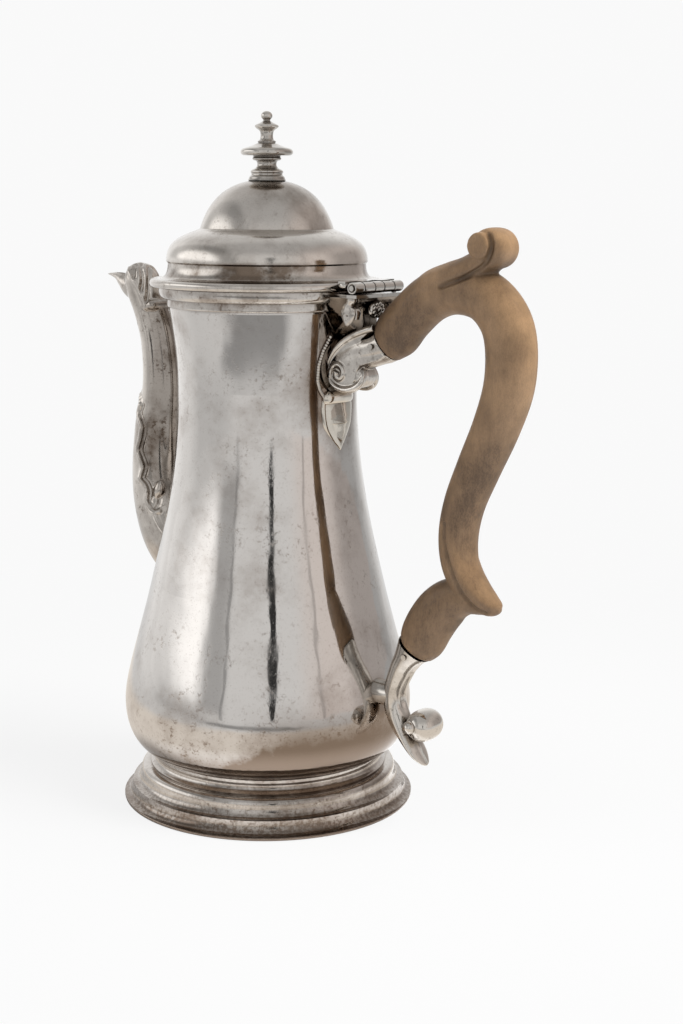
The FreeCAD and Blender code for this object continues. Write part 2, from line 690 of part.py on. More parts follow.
def make_hinge_shelf():
    """The plate that carries the body's knuckles, let into the rim moulding."""
    middle = HINGE_X - KNUCKLE_RADIUS
    outer = HINGE_X + SHELF_OVERHANG
    bottom = SHELF_TOP - SHELF_THICKNESS
    plate = tapered_plate(MOUTH_RADIUS, middle, outer, SHELF_ROOT_WIDTH, bottom, SHELF_THICKNESS)
    return max(plate.cut(rim_envelope()).Solids, key=lambda solid: solid.CenterOfMass.x)


def make_hinge_bracket(socket, body_fill):
    """A cast web from the shelf down to the upper socket, with a ball and a rosette at each side."""
    top = SHELF_TOP - SHELF_THICKNESS
    half = BRACKET_DEPTH / 2
    socket_x, socket_z, socket_depth, _ = UPPER_MIDDLE
    foot = (socket_x - half, socket_z + socket_depth - BRACKET_FOOT_SINK, BRACKET_FOOT_WIDTH / 2)
    waist = ((HINGE_X + foot[0]) / 2, (top + foot[1]) / 2, BRACKET_WAIST_WIDTH / 2)
    sections = []
    for x, z, y in [(HINGE_X, top, HALF_BARREL), waist, foot]:
        corners = [(-half, -y), (half, -y), (half, y), (-half, y), (-half, -y)]
        sections.append(Part.makePolygon([V(x + dx, dy, z) for dx, dy in corners]))
    trims = []
    for side in (-1, 1):
        corner = V(HINGE_X, side * (HALF_BARREL - BRACKET_BALL), top - BRACKET_BALL)
        trims.append(Part.makeSphere(BRACKET_BALL, corner))
        trims.append(Part.makeSphere(BRACKET_ROSETTE, V(waist[0], side * waist[2], waist[1])))
    casting = Part.makeLoft(sections, True).fuse(trims).cut([socket, body_fill])
    return max(casting.Solids, key=lambda solid: solid.Volume)


# Spout
def make_spout(body_fill):
    base = moved([SPOUT_ROOT] + SPOUT_BASE, FLANK)
    neck = moved(SPOUT_NECK, MOUTH)
    shaft = base + spaced(base[-1], neck[0], SPOUT_SWEEP) + neck
    path = shaft + moved(SPOUT_HOOD, MOUTH)
    lip_path = moved(SPOUT_LIP, MOUTH)
    outer = limb(path, SPOUT_ROOT_HEADING, SPOUT_CROWN_HEADING)
    lip = limb(lip_path, LIP_ROOT_HEADING, LIP_HEADING)
    x, z, radius, half_width = moved([SPOUT_KNOB], MOUTH)[0]
    knob = rounded(roll(x, z, radius, half_width), radius / 2)
    bore_end = headings(path, 0, 0)[len(shaft) - 1]
    bore = limb(thinner(shaft, SPOUT_WALL), SPOUT_ROOT_HEADING, bore_end)
    channel_path = []
    for i, (x, z, depth, width) in enumerate(thinner(lip_path[:-1], LIP_WALL)):
        channel_path.append((x, z + i * LIP_CHANNEL_STEP, depth, width))
    channel = limb(channel_path, LIP_ROOT_HEADING, LIP_HEADING)
    hollow = outer.fuse([lip, knob]).cut([bore, channel, body_fill])
    return max(hollow.Solids, key=lambda solid: solid.Volume)


# Handle sockets
def joint_frame(joint, heading):
    """The joint's centre and the direction that the wood leaves it in."""
    turn = math.radians(heading)
    return V(joint[0], 0, joint[1]), V(math.cos(turn), 0, math.sin(turn))


def tenon(joint, heading, radius, length):
    """The handle's tenon, or the mortise for it, from inside the wood into the socket."""
    centre, out = joint_frame(joint, heading)
    return Part.makeCylinder(radius, length + TENON_ROOT, centre + out * TENON_ROOT, out * -1)


def cross_pin(joint, heading, radius, half_length):
    """A rod across the socket at the pin's place on the tenon's axis."""
    centre, out = joint_frame(joint, heading)
    spot = centre - out * HANDLE_PIN_SETBACK
    return Part.makeCylinder(radius, 2 * half_length, V(spot.x, -half_length, spot.z), V(0, 1, 0))


def drilled(socket, joint, heading):
    """A socket with the mortise for the handle's tenon and the hole for its pin."""
    mortise = tenon(joint, heading, TENON_RADIUS + TENON_CLEARANCE, TENON_LENGTH + WOOD_GAP)
    hole = cross_pin(joint, heading, HANDLE_PIN_RADIUS + PIN_CLEARANCE, BELLY_RADIUS)
    return socket.cut([mortise, hole])


def make_upper_socket(body_fill):
    path = [UPPER_ROOT, UPPER_MIDDLE, UPPER_JOINT + UPPER_MOUTH]
    tube = limb(path, UPPER_HEADING / 2, UPPER_HEADING)
    volute = rounded(roll(*UPPER_VOLUTE), UPPER_VOLUTE[2] / 4)
    return drilled(tube.fuse(volute).cut(body_fill), UPPER_JOINT, UPPER_TENON_HEADING)


def on_wall(outline, thickness, body_fill):
    """A plate of the given outline in the YZ plane, bent to the body's wall on the handle's side."""
    prism = Part.Face(outline).extrude(V(BELLY_RADIUS, 0, 0))
    return prism.common(filled(wall_edges(-thickness))).cut(body_fill)


def make_upper_plate(socket, body_fill):
    """The cartouche that the upper socket stands on."""
    middle = (UPPER_PLATE_TOP + UPPER_PLATE_BOTTOM) / 2
    half_height = (UPPER_PLATE_TOP - UPPER_PLATE_BOTTOM) / 2
    place = FreeCAD.Matrix(
        0, 0, 1, 0,
        UPPER_PLATE_WIDTH / 2, 0, 0, 0,
        0, half_height, 0, middle,
        0, 0, 0, 1)
    return on_wall(smooth_oval(place), PLATE_THICKNESS, body_fill).cut(socket)


def make_upper_drop(plate, socket, body_fill):
    """The tapering pendant below the upper socket."""
    half = DROP_WIDTH / 2
    tip = DROP_TIP_WIDTH / 2
    top = UPPER_PLATE_BOTTOM + half
    bottom = UPPER_PLATE_BOTTOM - DROP_LENGTH
    side = [(half, top), (half, UPPER_PLATE_BOTTOM - half), (tip, bottom + tip)]
    corners = side + [(0, bottom)] + [(-y, z) for y, z in reversed(side)] + side[:1]
    outline = Part.makePolygon([V(0, y, z) for y, z in corners])
    drop = on_wall(outline, DROP_THICKNESS, body_fill).cut([plate, socket])
    return min(drop.Solids, key=lambda solid: solid.CenterOfMass.z)


def make_lower_socket():
    path = [LOWER_JOINT + LOWER_MOUTH] + LOWER_PATH
    tube = limb(path, LOWER_HEADING + 180, LOWER_TIP_HEADING)
    x, z, radius, half_width = LOWER_VOLUTE
    volute = rounded(roll(x, z, radius, half_width), radius / 2)
    eyes = [Part.makeSphere(LOWER_EYE, V(x - LOWER_EYE / 2, side * half_width, z)) for side in (-1, 1)]
    bend_x, bend_z, bend_depth, _ = LOWER_PATH[2]
    bend = (bend_x, bend_z - bend_depth, bend_depth / 2, LOWER_NECK_WIDTH)
    neck = limb([bend, (x, z - radius / 2, radius / 2, LOWER_NECK_WIDTH)], 0, 0)
    casting = tube.fuse([volute, neck] + eyes)
    return drilled(casting, LOWER_JOINT, LOWER_HEADING)


def make_lower_pad(socket, body_fill):
    """The boss that stands the lower socket off the belly."""
    root = V(WAIST_RADIUS, 0, LOWER_PAD_HEIGHT)
    length = LOWER_PATH[1][0] - WAIST_RADIUS
    boss = Part.makeCone(LOWER_PAD_RADIUS, LOWER_PAD_TOP_RADIUS, length, root, V(1, 0, 0))
    return max(boss.cut([body_fill, socket]).Solids, key=lambda solid: solid.Volume)


# Handle
def shoulder(joint, mouth, heading):
    """The wood's end station, a little larger than the socket's mouth and just clear of it."""
    centre, out = joint_frame(joint, heading)
    face = centre + out * WOOD_GAP
    return (face.x, face.z, mouth[0] + SHOULDER_SWELL, mouth[1] + SHOULDER_SWELL)


def make_thumb_scroll():
    """The small roll for the thumb on top of the handle, on a short stem."""
    x, z = moved([THUMB_PLACE], UPPER_JOINT)[0]
    place = FreeCAD.Matrix(
        THUMB_REACH, 0, 0, x,
        0, 0, 1, -THUMB_HALF_WIDTH,
        0, THUMB_HEIGHT, 0, z,
        0, 0, 0, 1)
    scroll = Part.Face(smooth_oval(place)).extrude(V(0, 2 * THUMB_HALF_WIDTH, 0))
    return rounded(scroll, THUMB_ROUND).fuse(limb(moved(THUMB_STEM, UPPER_JOINT), 90, 90))


def make_handle():
    top = moved(HANDLE_TOP, UPPER_JOINT)
    foot = moved(HANDLE_FOOT, LOWER_JOINT)
    sweep = spaced(top[-1], foot[0], HANDLE_SWEEP)
    main = [shoulder(UPPER_JOINT, UPPER_MOUTH, UPPER_HEADING)] + top + sweep + foot
    arm = moved(HANDLE_ARM, LOWER_JOINT) + [shoulder(LOWER_JOINT, LOWER_MOUTH, LOWER_HEADING)]
    grip = limb(main, UPPER_HEADING, HANDLE_SPUR_HEADING)
    wood = grip.fuse([limb(arm, ARM_HEADING, LOWER_HEADING + 180), make_thumb_scroll()])
    fixings = ((UPPER_JOINT, UPPER_TENON_HEADING), (LOWER_JOINT, LOWER_HEADING))
    hole_radius = HANDLE_PIN_RADIUS + PIN_CLEARANCE
    tenons = [tenon(joint, heading, TENON_RADIUS, TENON_LENGTH) for joint, heading in fixings]
    holes = [cross_pin(joint, heading, hole_radius, TENON_RADIUS) for joint, heading in fixings]
    return wood.fuse(tenons).cut(holes)


def make_handle_pin(joint, heading, socket):
    """A silver pin through a socket and the tenon in it, with its ends standing a little proud."""
    sleeve = socket.common(cross_pin(joint, heading, 2 * HANDLE_PIN_RADIUS, BELLY_RADIUS))
    return cross_pin(joint, heading, HANDLE_PIN_RADIUS, sleeve.optimalBoundingBox().YMax + PIN_PROUD)


def main():
    body_fill = filled(wall_edges(0))
    lid = make_lid()
    upper_socket = make_upper_socket(body_fill)
    upper_plate = make_upper_plate(upper_socket, body_fill)
    lower_socket = make_lower_socket()
    parts = {
        "body": make_body(),
        "rim_moulding": make_rim_moulding(),
        "foot": make_foot(),
        "foot_rim_wire": make_foot_wire(),
        "foot_collar": make_foot_collar(),
        "spout": make_spout(body_fill),
        "upper_socket": upper_socket,
        "upper_socket_plate": upper_plate,
        "upper_socket_drop": make_upper_drop(upper_plate, upper_socket, body_fill),
        "lower_socket": lower_socket,
        "lower_socket_pad": make_lower_pad(lower_socket, body_fill),
        "handle": make_handle(),
        "upper_handle_pin": make_handle_pin(UPPER_JOINT, UPPER_TENON_HEADING, upper_socket),
        "lower_handle_pin": make_handle_pin(LOWER_JOINT, LOWER_HEADING, lower_socket),
        "hinge_shelf": make_hinge_shelf(),
        "hinge_bracket": make_hinge_bracket(upper_socket, body_fill),
        "hinge_body_knuckles": make_body_knuckles(),
        "hinge_pin": make_hinge_pin(),
        "hinge_lid_knuckles": make_lid_knuckles(),
        "hinge_lid_leaf": make_hinge_leaf(lid),
        "lid": lid,
        "lid_rim_wire": make_lid_wire(),
        "lid_bezel": make_lid_bezel(),
        "finial": make_finial(),
        "finial_washer": make_finial_washer(),
        "finial_nut": make_finial_nut(),
    }
    os.makedirs("parts", exist_ok=True)
    for name, shape in parts.items():
        shape.exportStep(f"parts/{name}.step")
        box = shape.BoundBox
        print(f"{name}: {len(shape.Solids)} solid(s), valid {shape.isValid()}, {shape.Volume:.1f} mm3, "
              f"x {box.XMin:.1f} to {box.XMax:.1f}, z {box.ZMin:.1f} to {box.ZMax:.1f}")


main()
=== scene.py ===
import bpy
import math
from mathutils import Matrix, Vector
from mathutils.geometry import interpolate_bezier
from mathutils.kdtree import KDTree


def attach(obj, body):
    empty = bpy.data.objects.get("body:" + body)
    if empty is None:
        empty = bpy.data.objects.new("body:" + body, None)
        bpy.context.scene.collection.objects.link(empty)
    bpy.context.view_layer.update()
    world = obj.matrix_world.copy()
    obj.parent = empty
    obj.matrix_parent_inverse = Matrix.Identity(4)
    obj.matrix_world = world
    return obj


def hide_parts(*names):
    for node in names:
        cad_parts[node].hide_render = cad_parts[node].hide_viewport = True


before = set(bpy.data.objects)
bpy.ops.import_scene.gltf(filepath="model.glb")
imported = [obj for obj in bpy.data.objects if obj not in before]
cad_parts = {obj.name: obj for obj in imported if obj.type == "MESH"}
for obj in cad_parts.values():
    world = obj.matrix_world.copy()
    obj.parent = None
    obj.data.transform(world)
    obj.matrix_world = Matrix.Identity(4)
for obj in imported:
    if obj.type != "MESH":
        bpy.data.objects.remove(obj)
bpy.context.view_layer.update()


# Body. A tall baluster shell, raised by hammer from sheet silver and planished, so that its mirror is a
# little wavy. It is drilled with strainer holes behind the spout. Its solid only needs its finish.
class Shade:
    """A value in a node tree. Sums of such values become the tree's Math nodes."""

    def __init__(self, tree, socket=None):
        self.tree = tree
        self.socket = socket

    def node(self, kind, settings, inputs, output=0):
        """A new node with its settings, and then its socket values or links; gives one of its outputs."""
        made = self.tree.nodes.new(kind)
        for name, value in settings.items():
            setattr(made, name, value)
        for name, value in inputs.items():
            if isinstance(value, Shade):
                self.tree.links.new(value.socket, made.inputs[name])
            else:
                made.inputs[name].default_value = value
        return Shade(self.tree, made.outputs[output])

    def math(self, operation, first, second=0.0, clamp=False):
        settings = {"operation": operation, "use_clamp": clamp}
        return self.node("ShaderNodeMath", settings, {0: first, 1: second})

    def __add__(self, other):
        return self.math("ADD", self, other)

    def __radd__(self, other):
        return self.math("ADD", other, self)

    def __sub__(self, other):
        return self.math("SUBTRACT", self, other)

    def __rsub__(self, other):
        return self.math("SUBTRACT", other, self)

    def __mul__(self, other):
        return self.math("MULTIPLY", self, other)

    def __rmul__(self, other):
        return self.math("MULTIPLY", other, self)

    def __truediv__(self, other):
        return self.math("DIVIDE", self, other)

    def clamped(self):
        return self.math("ADD", self, 0.0, True)

    def absolute(self):
        return self.math("ABSOLUTE", self)

    def ramp(self, low, high):
        """0 at low and 1 at high, smooth between and level beyond; low may be the larger."""
        return self.node("ShaderNodeMapRange", {"interpolation_type": "SMOOTHSTEP"},
                         {0: self, 1: low, 2: high, 3: 0.0, 4: 1.0})

    def noise(self, scale, detail=2.0, roughness=0.5):
        return self.node("ShaderNodeTexNoise", {}, {"Vector": self, "Scale": scale, "Detail": detail,
                                                    "Roughness": roughness})

    def vector(self, operation, other=(0.0, 0.0, 0.0), output="Vector"):
        inputs = {0: self, 1: tuple(other)}
        return self.node("ShaderNodeVectorMath", {"operation": operation}, inputs, output)

    def stretched(self, x, y, z):
        return self.vector("MULTIPLY", (x, y, z))

    def length(self):
        return self.vector("LENGTH", output="Value")

    def in_direction(self, direction):
        """How far a place lies in a direction."""
        return self.vector("DOT_PRODUCT", direction, "Value")

    def axis(self, name):
        return self.node("ShaderNodeSeparateXYZ", {}, {0: self}, name)

    def shelter(self, reach):
        """1 in the open, and less where other faces stand within reach."""
        return self.node("ShaderNodeAmbientOcclusion", {"samples": 8}, {"Distance": reach}, "AO")

    def blend(self, first, second):
        """A colour between two others, by this value."""
        return self.node("ShaderNodeMix", {"data_type": "RGBA"}, {0: self, 6: first, 7: second}, 2)

    def into(self, shader, name):
        self.tree.links.new(self.socket, shader.inputs[name])

    def embossed(self, shader):
        """Lets this height, in metres, tilt the shader's surface."""
        bump = {"Strength": 1.0, "Distance": 1.0, "Height": self}
        self.node("ShaderNodeBump", {}, bump).into(shader, "Normal")


def new_material(name):
    """A material, its shader, and the place in space that its patterns follow."""
    made = bpy.data.materials.new(name)
    made.use_nodes = True
    tree = made.node_tree
    place = Shade(tree).node("ShaderNodeTexCoord", {}, {}, "Object")
    return made, tree.nodes["Principled BSDF"], place


def silver(name, colour, tarnish, gloss, wave, spread, recess, gathered=None):
    """Old silver: a wavy mirror with pits in clusters, dull patches, and tarnish in its recesses and
    wherever the piece's own function of place, height, patches and pits gathers more; on some pieces that
    function also paints shade."""
    made, shader, place = new_material(name)
    hollow = place.shelter(0.0035)
    patches = place.noise(38.0, 5.0, 0.65)
    clusters = place.noise(62.0, 3.0, 0.6).ramp(0.46, 0.64)
    mottle = place.noise(520.0, 4.0, 0.7)
    specks = place.noise(1500.0, 1.0)
    pits = mottle.ramp(0.52, 0.7) * (0.15 + 0.85 * clusters) + specks.ramp(0.64, 0.72) * 0.3
    height = place.axis("Z")
    stain = (1.0 - hollow) * recess + (patches.ramp(0.45, 0.75) + pits) * spread
    # The piece's own function adds more tarnish, and on some pieces painted shade.
    if gathered:
        stain = stain + gathered(place, height, patches, pits)
    stain.clamped().blend(colour + (1.0,), tarnish + (1.0,)).into(shader, "Base Color")
    shader.inputs["Metallic"].default_value = 1.0
    rough = gloss + patches.ramp(0.4, 0.8) * 0.06 + clusters * 0.06 + pits * 0.12
    rough.into(shader, "Roughness")
    blows = place.stretched(1.0, 1.0, 0.35).noise(75.0, 2.0, 0.55) * wave - pits * 0.00001
    blows.embossed(shader)
    return made


def dress(material, *names):
    """Gives solids of the part their finish."""
    for name in names:
        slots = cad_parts[name].data.materials
        slots.clear()
        slots.append(material)


def belly_tarnish_and_shade(place, height, patches, pits):
    """Brown low on the belly, partly tarnish and partly painted shade, most of it below the handle, and
    brown round the upper socket.
    """
    # Low on the belly: brown tarnish in clouds and pits, and painted shade, darker on the side under the
    # handle and towards the very bottom.
    low = (height + 0.03 * (patches - 0.5)).ramp(0.05, 0.03)
    handle_side_shade = place.axis("X") + 0.05 * (patches - 0.5)
    clouds = place.noise(150.0, 4.0, 0.6).ramp(0.35, 0.75)
    brown = 0.06 + 0.2 * clouds + 0.9 * handle_side_shade.ramp(0.018, 0.042) + 0.6 * pits
    low = low * (brown + 0.65 * (height + 0.01 * (patches - 0.5)).ramp(0.031, 0.024))
    socket = (0.035, 0.0, 0.161)
    reach = place.vector("SUBTRACT", socket).stretched(1.0, 1.0, 0.6).length()
    return low + (reach + 0.012 * (patches - 0.5)).ramp(0.021, 0.013) * (0.4 + 0.5 * clouds)


raised_silver = silver("raised_silver", (0.7, 0.67, 0.64), (0.24, 0.185, 0.145), gloss=0.045, wave=0.0003,
                       spread=0.5, recess=1.1, gathered=belly_tarnish_and_shade)
dress(raised_silver, "body")


# Rim and foot. Mouldings drawn or turned in silver, and soldered to the body; their quirks hold more
# tarnish than the body does.
def foot_tarnish(place, height, patches, pits):
    """Dark specks round the foot's edge, a haze on the foot, and brown below the rim."""
    specks = place.noise(800.0, 4.0, 0.75).ramp(0.46, 0.62)
    edge = (height + 0.008 * (patches - 0.5)).ramp(0.0045, 0.0015)
    rim = height.ramp(0.176, 0.18) * height.ramp(0.187, 0.185) * (0.05 + 0.45 * patches.ramp(0.4, 0.65))
    haze = (0.35 * height.ramp(0.03, 0.02) + 0.45 * height.ramp(0.009, 0.006)) * (0.6 + 0.4 * specks)
    return edge * (0.2 + 0.6 * specks) + haze + rim


turned_silver = silver("turned_silver", (0.69, 0.655, 0.615), (0.19, 0.148, 0.118), gloss=0.09, wave=0.0002,
                       spread=0.55, recess=0.95, gathered=foot_tarnish)
dress(turned_silver, "rim_moulding", "foot", "foot_rim_wire")


# Spout. A swan-neck casting in silver, soldered over the strainer. Its hood is a fluted leaf, a leaf with a
# scalloped edge lies on its foot, and a small scroll sits behind the hood.
cast_silver = silver("cast_silver", (0.68, 0.64, 0.59), (0.1, 0.075, 0.055), gloss=0.1, wave=0.0002,
                     spread=0.55, recess=1.25)


def spout_back_shade(place, height, patches, pits):
    """Painted shade: dark brown in the hollow along the spout's back, the side that faces the body, and
    round the stem of its hood.
    """
    back = place.axis("X") + 0.004 * (patches - 0.5)
    return 0.5 * back.ramp(-0.0545, -0.0495) * height.ramp(0.104, 0.122) * height.ramp(0.192, 0.176)


spout_silver = silver("spout_silver", (0.64, 0.595, 0.545), (0.13, 0.098, 0.075), gloss=0.1, wave=0.0002,
                      spread=0.6, recess=0.7, gathered=spout_back_shade)

# Sizes are in millimetres, as in the part, and become metres where a mesh is made.
MM = 0.001


def flowing(stations, steps):
    """More stations on a smooth curve through the given ones; each has x, z, half depth and half width."""
    points = [Vector(station) for station in stations]
    found = []
    for i in range(len(points) - 1):
        start, end = points[i], points[i + 1]
        leave = (end - points[max(i - 1, 0)]) / (2 if i else 1)
        arrive = (points[min(i + 2, len(points) - 1)] - start) / (2 if i + 2 < len(points) else 1)
        for step in range(steps):
            t = step / steps
            found.append(start * (2 * t ** 3 - 3 * t ** 2 + 1) + leave * (t ** 3 - 2 * t ** 2 + t)
                         + end * (3 * t ** 2 - 2 * t ** 3) + arrive * (t ** 3 - t ** 2))
    return found + [points[-1]]


def new_piece(name):
    """An empty mesh at the origin, open for editing."""
    bpy.ops.object.select_all(action="DESELECT")
    bpy.ops.mesh.primitive_plane_add(size=MM)
    bpy.context.object.name = name
    bpy.ops.object.mode_set(mode="EDIT")
    bpy.ops.mesh.delete(type="VERT")
    return bpy.context.object


def closed(piece, sharp):
    """Ends the editing of a piece: doubles merged, faces outwards, and edges above the sharp angle kept."""
    bpy.ops.mesh.select_all(action="SELECT")
    bpy.ops.mesh.remove_doubles(threshold=MM / 1000)
    bpy.ops.mesh.normals_make_consistent(inside=False)
    bpy.ops.object.mode_set(mode="OBJECT")
    bpy.ops.object.shade_smooth_by_angle(angle=math.radians(sharp))
    return piece


def limb(name, stations, first, last, sides, steps, relief=None, sharp=45):
    """A solid that swells and tapers along a path in the XZ plane, made of bridged ovals; the path's first
    and last directions are in degrees. The relief gives how far a point stands out, from its x, z and angle
    round the path, with 0 on the path's right."""
    path = flowing(stations, steps)
    turns = [math.radians(first)]
    for before, after in zip(path, path[2:]):
        turns.append(math.atan2(after[1] - before[1], after[0] - before[0]))
    turns.append(math.radians(last))
    piece = new_piece(name)
    for (x, z, depth, width), turn in zip(path, turns):
        bpy.ops.mesh.primitive_circle_add(vertices=sides, radius=1.0)
        bpy.ops.transform.resize(value=(depth * MM, width * MM, 1.0), center_override=(0, 0, 0))
        bpy.ops.transform.rotate(value=turn - math.pi / 2, orient_axis="Y", center_override=(0, 0, 0))
        bpy.ops.transform.translate(value=(x * MM, 0, z * MM))
    bpy.ops.mesh.select_all(action="SELECT")
    bpy.ops.mesh.bridge_edge_loops()
    bpy.ops.mesh.select_all(action="SELECT")
    bpy.ops.mesh.fill_holes(sides=0)
    if relief:
        bpy.ops.object.mode_set(mode="OBJECT")
        for i, vertex in enumerate(piece.data.vertices):
            x, z, _, _ = path[i // sides]
            middle = Vector((x * MM, 0, z * MM))
            out = (vertex.co - middle).normalized()
            turn = turns[i // sides]
            angle = math.atan2(out.y, out.x * math.sin(turn) - out.z * math.cos(turn))
            vertex.co += out * MM * relief(vertex.co.x / MM, vertex.co.z / MM, angle)
        bpy.ops.object.mode_set(mode="EDIT")
    return closed(piece, sharp)


def turned(name, outline, steps, sharp=30):
    """A piece spun about the pot's axis from an open or closed line of radius and height."""
    piece = new_piece(name)
    bpy.ops.mesh.primitive_plane_add(size=MM)
    bpy.ops.mesh.merge(type="CENTER")
    here = Vector((0, 0, 0))
    for i, (radius, height) in enumerate(outline):
        there = Vector((radius * MM, 0, height * MM))
        if i:
            bpy.ops.mesh.extrude_region_move(TRANSFORM_OT_translate={"value": there - here})
        else:
            bpy.ops.transform.translate(value=there)
        here = there
    bpy.ops.mesh.select_all(action="SELECT")
    bpy.ops.mesh.spin(steps=steps, angle=math.tau, use_auto_merge=True, center=(0, 0, 0), axis=(0, 0, 1))
    return closed(piece, sharp)


def picked(piece):
    """Makes a piece the only one that operators act on."""
    bpy.ops.object.select_all(action="DESELECT")
    piece.select_set(True)
    bpy.context.view_layer.objects.active = piece


def combined(piece, other, operation):
    """Cuts another solid out of a piece, or unites the two, and removes the other."""
    modifier = piece.modifiers.new("solid", "BOOLEAN")
    modifier.operation = operation
    modifier.solver = "EXACT"
    modifier.object = other
    picked(piece)
    bpy.ops.object.modifier_apply(modifier="solid")
    bpy.data.objects.remove(other)


WALL = (
    ((42.0, 18.0), (48.0, 20.1), (52.6, 26.0), (52.6, 37.0)),
    ((52.6, 37.0), (52.6, 46.0), (46.87, 62.0), (42.4, 81.0)),
    ((42.4, 81.0), (37.94, 100.0), (32.2, 122.0), (32.2, 152.0)),
    ((32.2, 152.0), (32.2, 164.0), (33.78, 172.5), (34.9, 179.5)),
)
WALL_BASE, WALL_TOP = 18.0, 187.0


def wall_line(inset=0.0):
    """Points of the body's outer wall from the floor to the throat, moved in by the inset."""
    line = []
    for curve in WALL:
        poles = [Vector((radius - inset, height, 0)) for radius, height in curve]
        line += [(point.x, point.y) for point in interpolate_bezier(*poles, 24)][:-1]
    return line + [(WALL[-1][-1][0] - inset, WALL_TOP)]


def wall_radius(height):
    """The body's outer radius at a height."""
    line = wall_line()
    for (low_radius, low), (high_radius, high) in zip(line, line[1:]):
        if low <= height <= high:
            return low_radius + (high_radius - low_radius) * (height - low) / (high - low)
    return line[-1][0]


def cut_to_wall(piece):
    """Takes off what would stand inside the body's wall."""
    core = turned("core", [(0, WALL_BASE)] + wall_line(0.3) + [(0, WALL_TOP)], steps=128)
    combined(piece, core, "DIFFERENCE")


def smoothstep(low, high, value):
    """0 at low and 1 at high, smooth between and level beyond; low may be the larger."""
    share = min(max((value - low) / (high - low), 0.0), 1.0)
    return share * share * (3 - 2 * share)


def along(table, value):
    """The value of a table of pairs, read on straight lines between its entries."""
    if value <= table[0][0]:
        return table[0][1]
    for (low, at_low), (high, at_high) in zip(table, table[1:]):
        if value <= high:
            return at_low + (at_high - at_low) * (value - low) / (high - low)
    return table[-1][1]


def strand(name, points, radii):
    """A rounded bar through the points, as thick as its radii."""
    data = bpy.data.curves.new(name, "CURVE")
    data.dimensions = "3D"
    data.bevel_depth = MM
    data.bevel_resolution = 4
    data.use_fill_caps = True
    line = data.splines.new("NURBS")
    line.points.add(len(points) - 1)
    for spot, place, radius in zip(line.points, points, radii):
        spot.co = (place[0] * MM, place[1] * MM, place[2] * MM, 1.0)
        spot.radius = radius
    line.order_u = 4
    line.use_endpoint_u = True
    line.resolution_u = 8
    bar = bpy.data.objects.new(name, data)
    bpy.context.collection.objects.link(bar)
    picked(bar)
    bpy.ops.object.convert(target="MESH")
    bpy.ops.object.shade_smooth_by_angle(angle=math.radians(60))
    return bpy.context.object


def joined(piece, others):
    """One piece of several that touch."""
    picked(piece)
    for other in others:
        other.select_set(True)
    bpy.ops.object.join()
    return piece


def roll(name, x, z, half_rounds):
    """A turned roll that lies along Y with its middle at x and z; each round has a distance from the middle
    and the radii along x and z, and the far half mirrors the near one."""
    rounds = [(-y, 0, tall, wide) for y, wide, tall in reversed(half_rounds)]
    rounds += [(y, 0, tall, wide) for y, wide, tall in half_rounds if y > 0]
    piece = limb(name, rounds, 0, 0, sides=48, steps=4)
    piece.data.transform(Matrix.Translation((x * MM, 0, z * MM)) @ Matrix.Rotation(math.pi / 2, 4, "Z"))
    return piece


def shifted(piece, y):
    """Moves the mesh of a piece along Y."""
    piece.data.transform(Matrix.Translation((0, y * MM, 0)))
    return piece


def softened(piece, voxel, rounds):
    """One even skin over a piece, with its edges rounded soft."""
    remesh = piece.modifiers.new("skin", "REMESH")
    remesh.mode = "VOXEL"
    remesh.voxel_size = voxel * MM
    smooth = piece.modifiers.new("wear", "SMOOTH")
    smooth.factor = 0.5
    smooth.iterations = rounds
    picked(piece)
    bpy.ops.object.modifier_apply(modifier="skin")
    bpy.ops.object.modifier_apply(modifier="wear")
    bpy.ops.object.shade_smooth()


def chased(piece, points, width, depth):
    """Sinks a groove into a piece along a line and its mirror image; a negative depth raises a bead."""
    line = [(x, side * y, z) for x, y, z in flowing(points, 16) for side in (-1, 1)]
    tree = KDTree(len(line))
    for i, spot in enumerate(line):
        tree.insert(Vector(spot) * MM, i)
    tree.balance()
    moves = []
    for vertex in piece.data.vertices:
        share = tree.find(vertex.co)[2] / (width * MM)
        if share < 1:
            moves.append((vertex, vertex.normal * depth * MM * (1 - share * share) ** 2))
    for vertex, move in moves:
        vertex.co -= move


LEAF_EDGE = ((64, 112), (103, 110), (106.2, 103), (109.5, 106), (112.1, 103), (113.8, 93), (115.2, 95),
             (118.3, 102), (120.9, 95), (123.8, 87), (125.6, 85), (129.5, 91), (133.2, 92), (135.7, 80),
             (138.2, 71), (141.3, 74), (144.5, 50), (149, 0))


def spout_relief(x, z, angle):
    """The leaf on the spout's foot, and the hollow along its back."""
    from_front = abs(math.degrees(math.pi - abs(angle)))
    inside = along(LEAF_EDGE, z) - from_front
    leaf = smoothstep(-3, 3, inside) * (0.6 + 0.4 * math.exp(-((inside - 6) / 7) ** 2))
    leaf *= smoothstep(62, 70, z) * smoothstep(149, 144, z)
    hollow = smoothstep(90, 112, from_front) * smoothstep(162, 140, from_front)
    hollow *= smoothstep(112, 134, z) * smoothstep(178, 176, z)
    return leaf - 1.1 * hollow


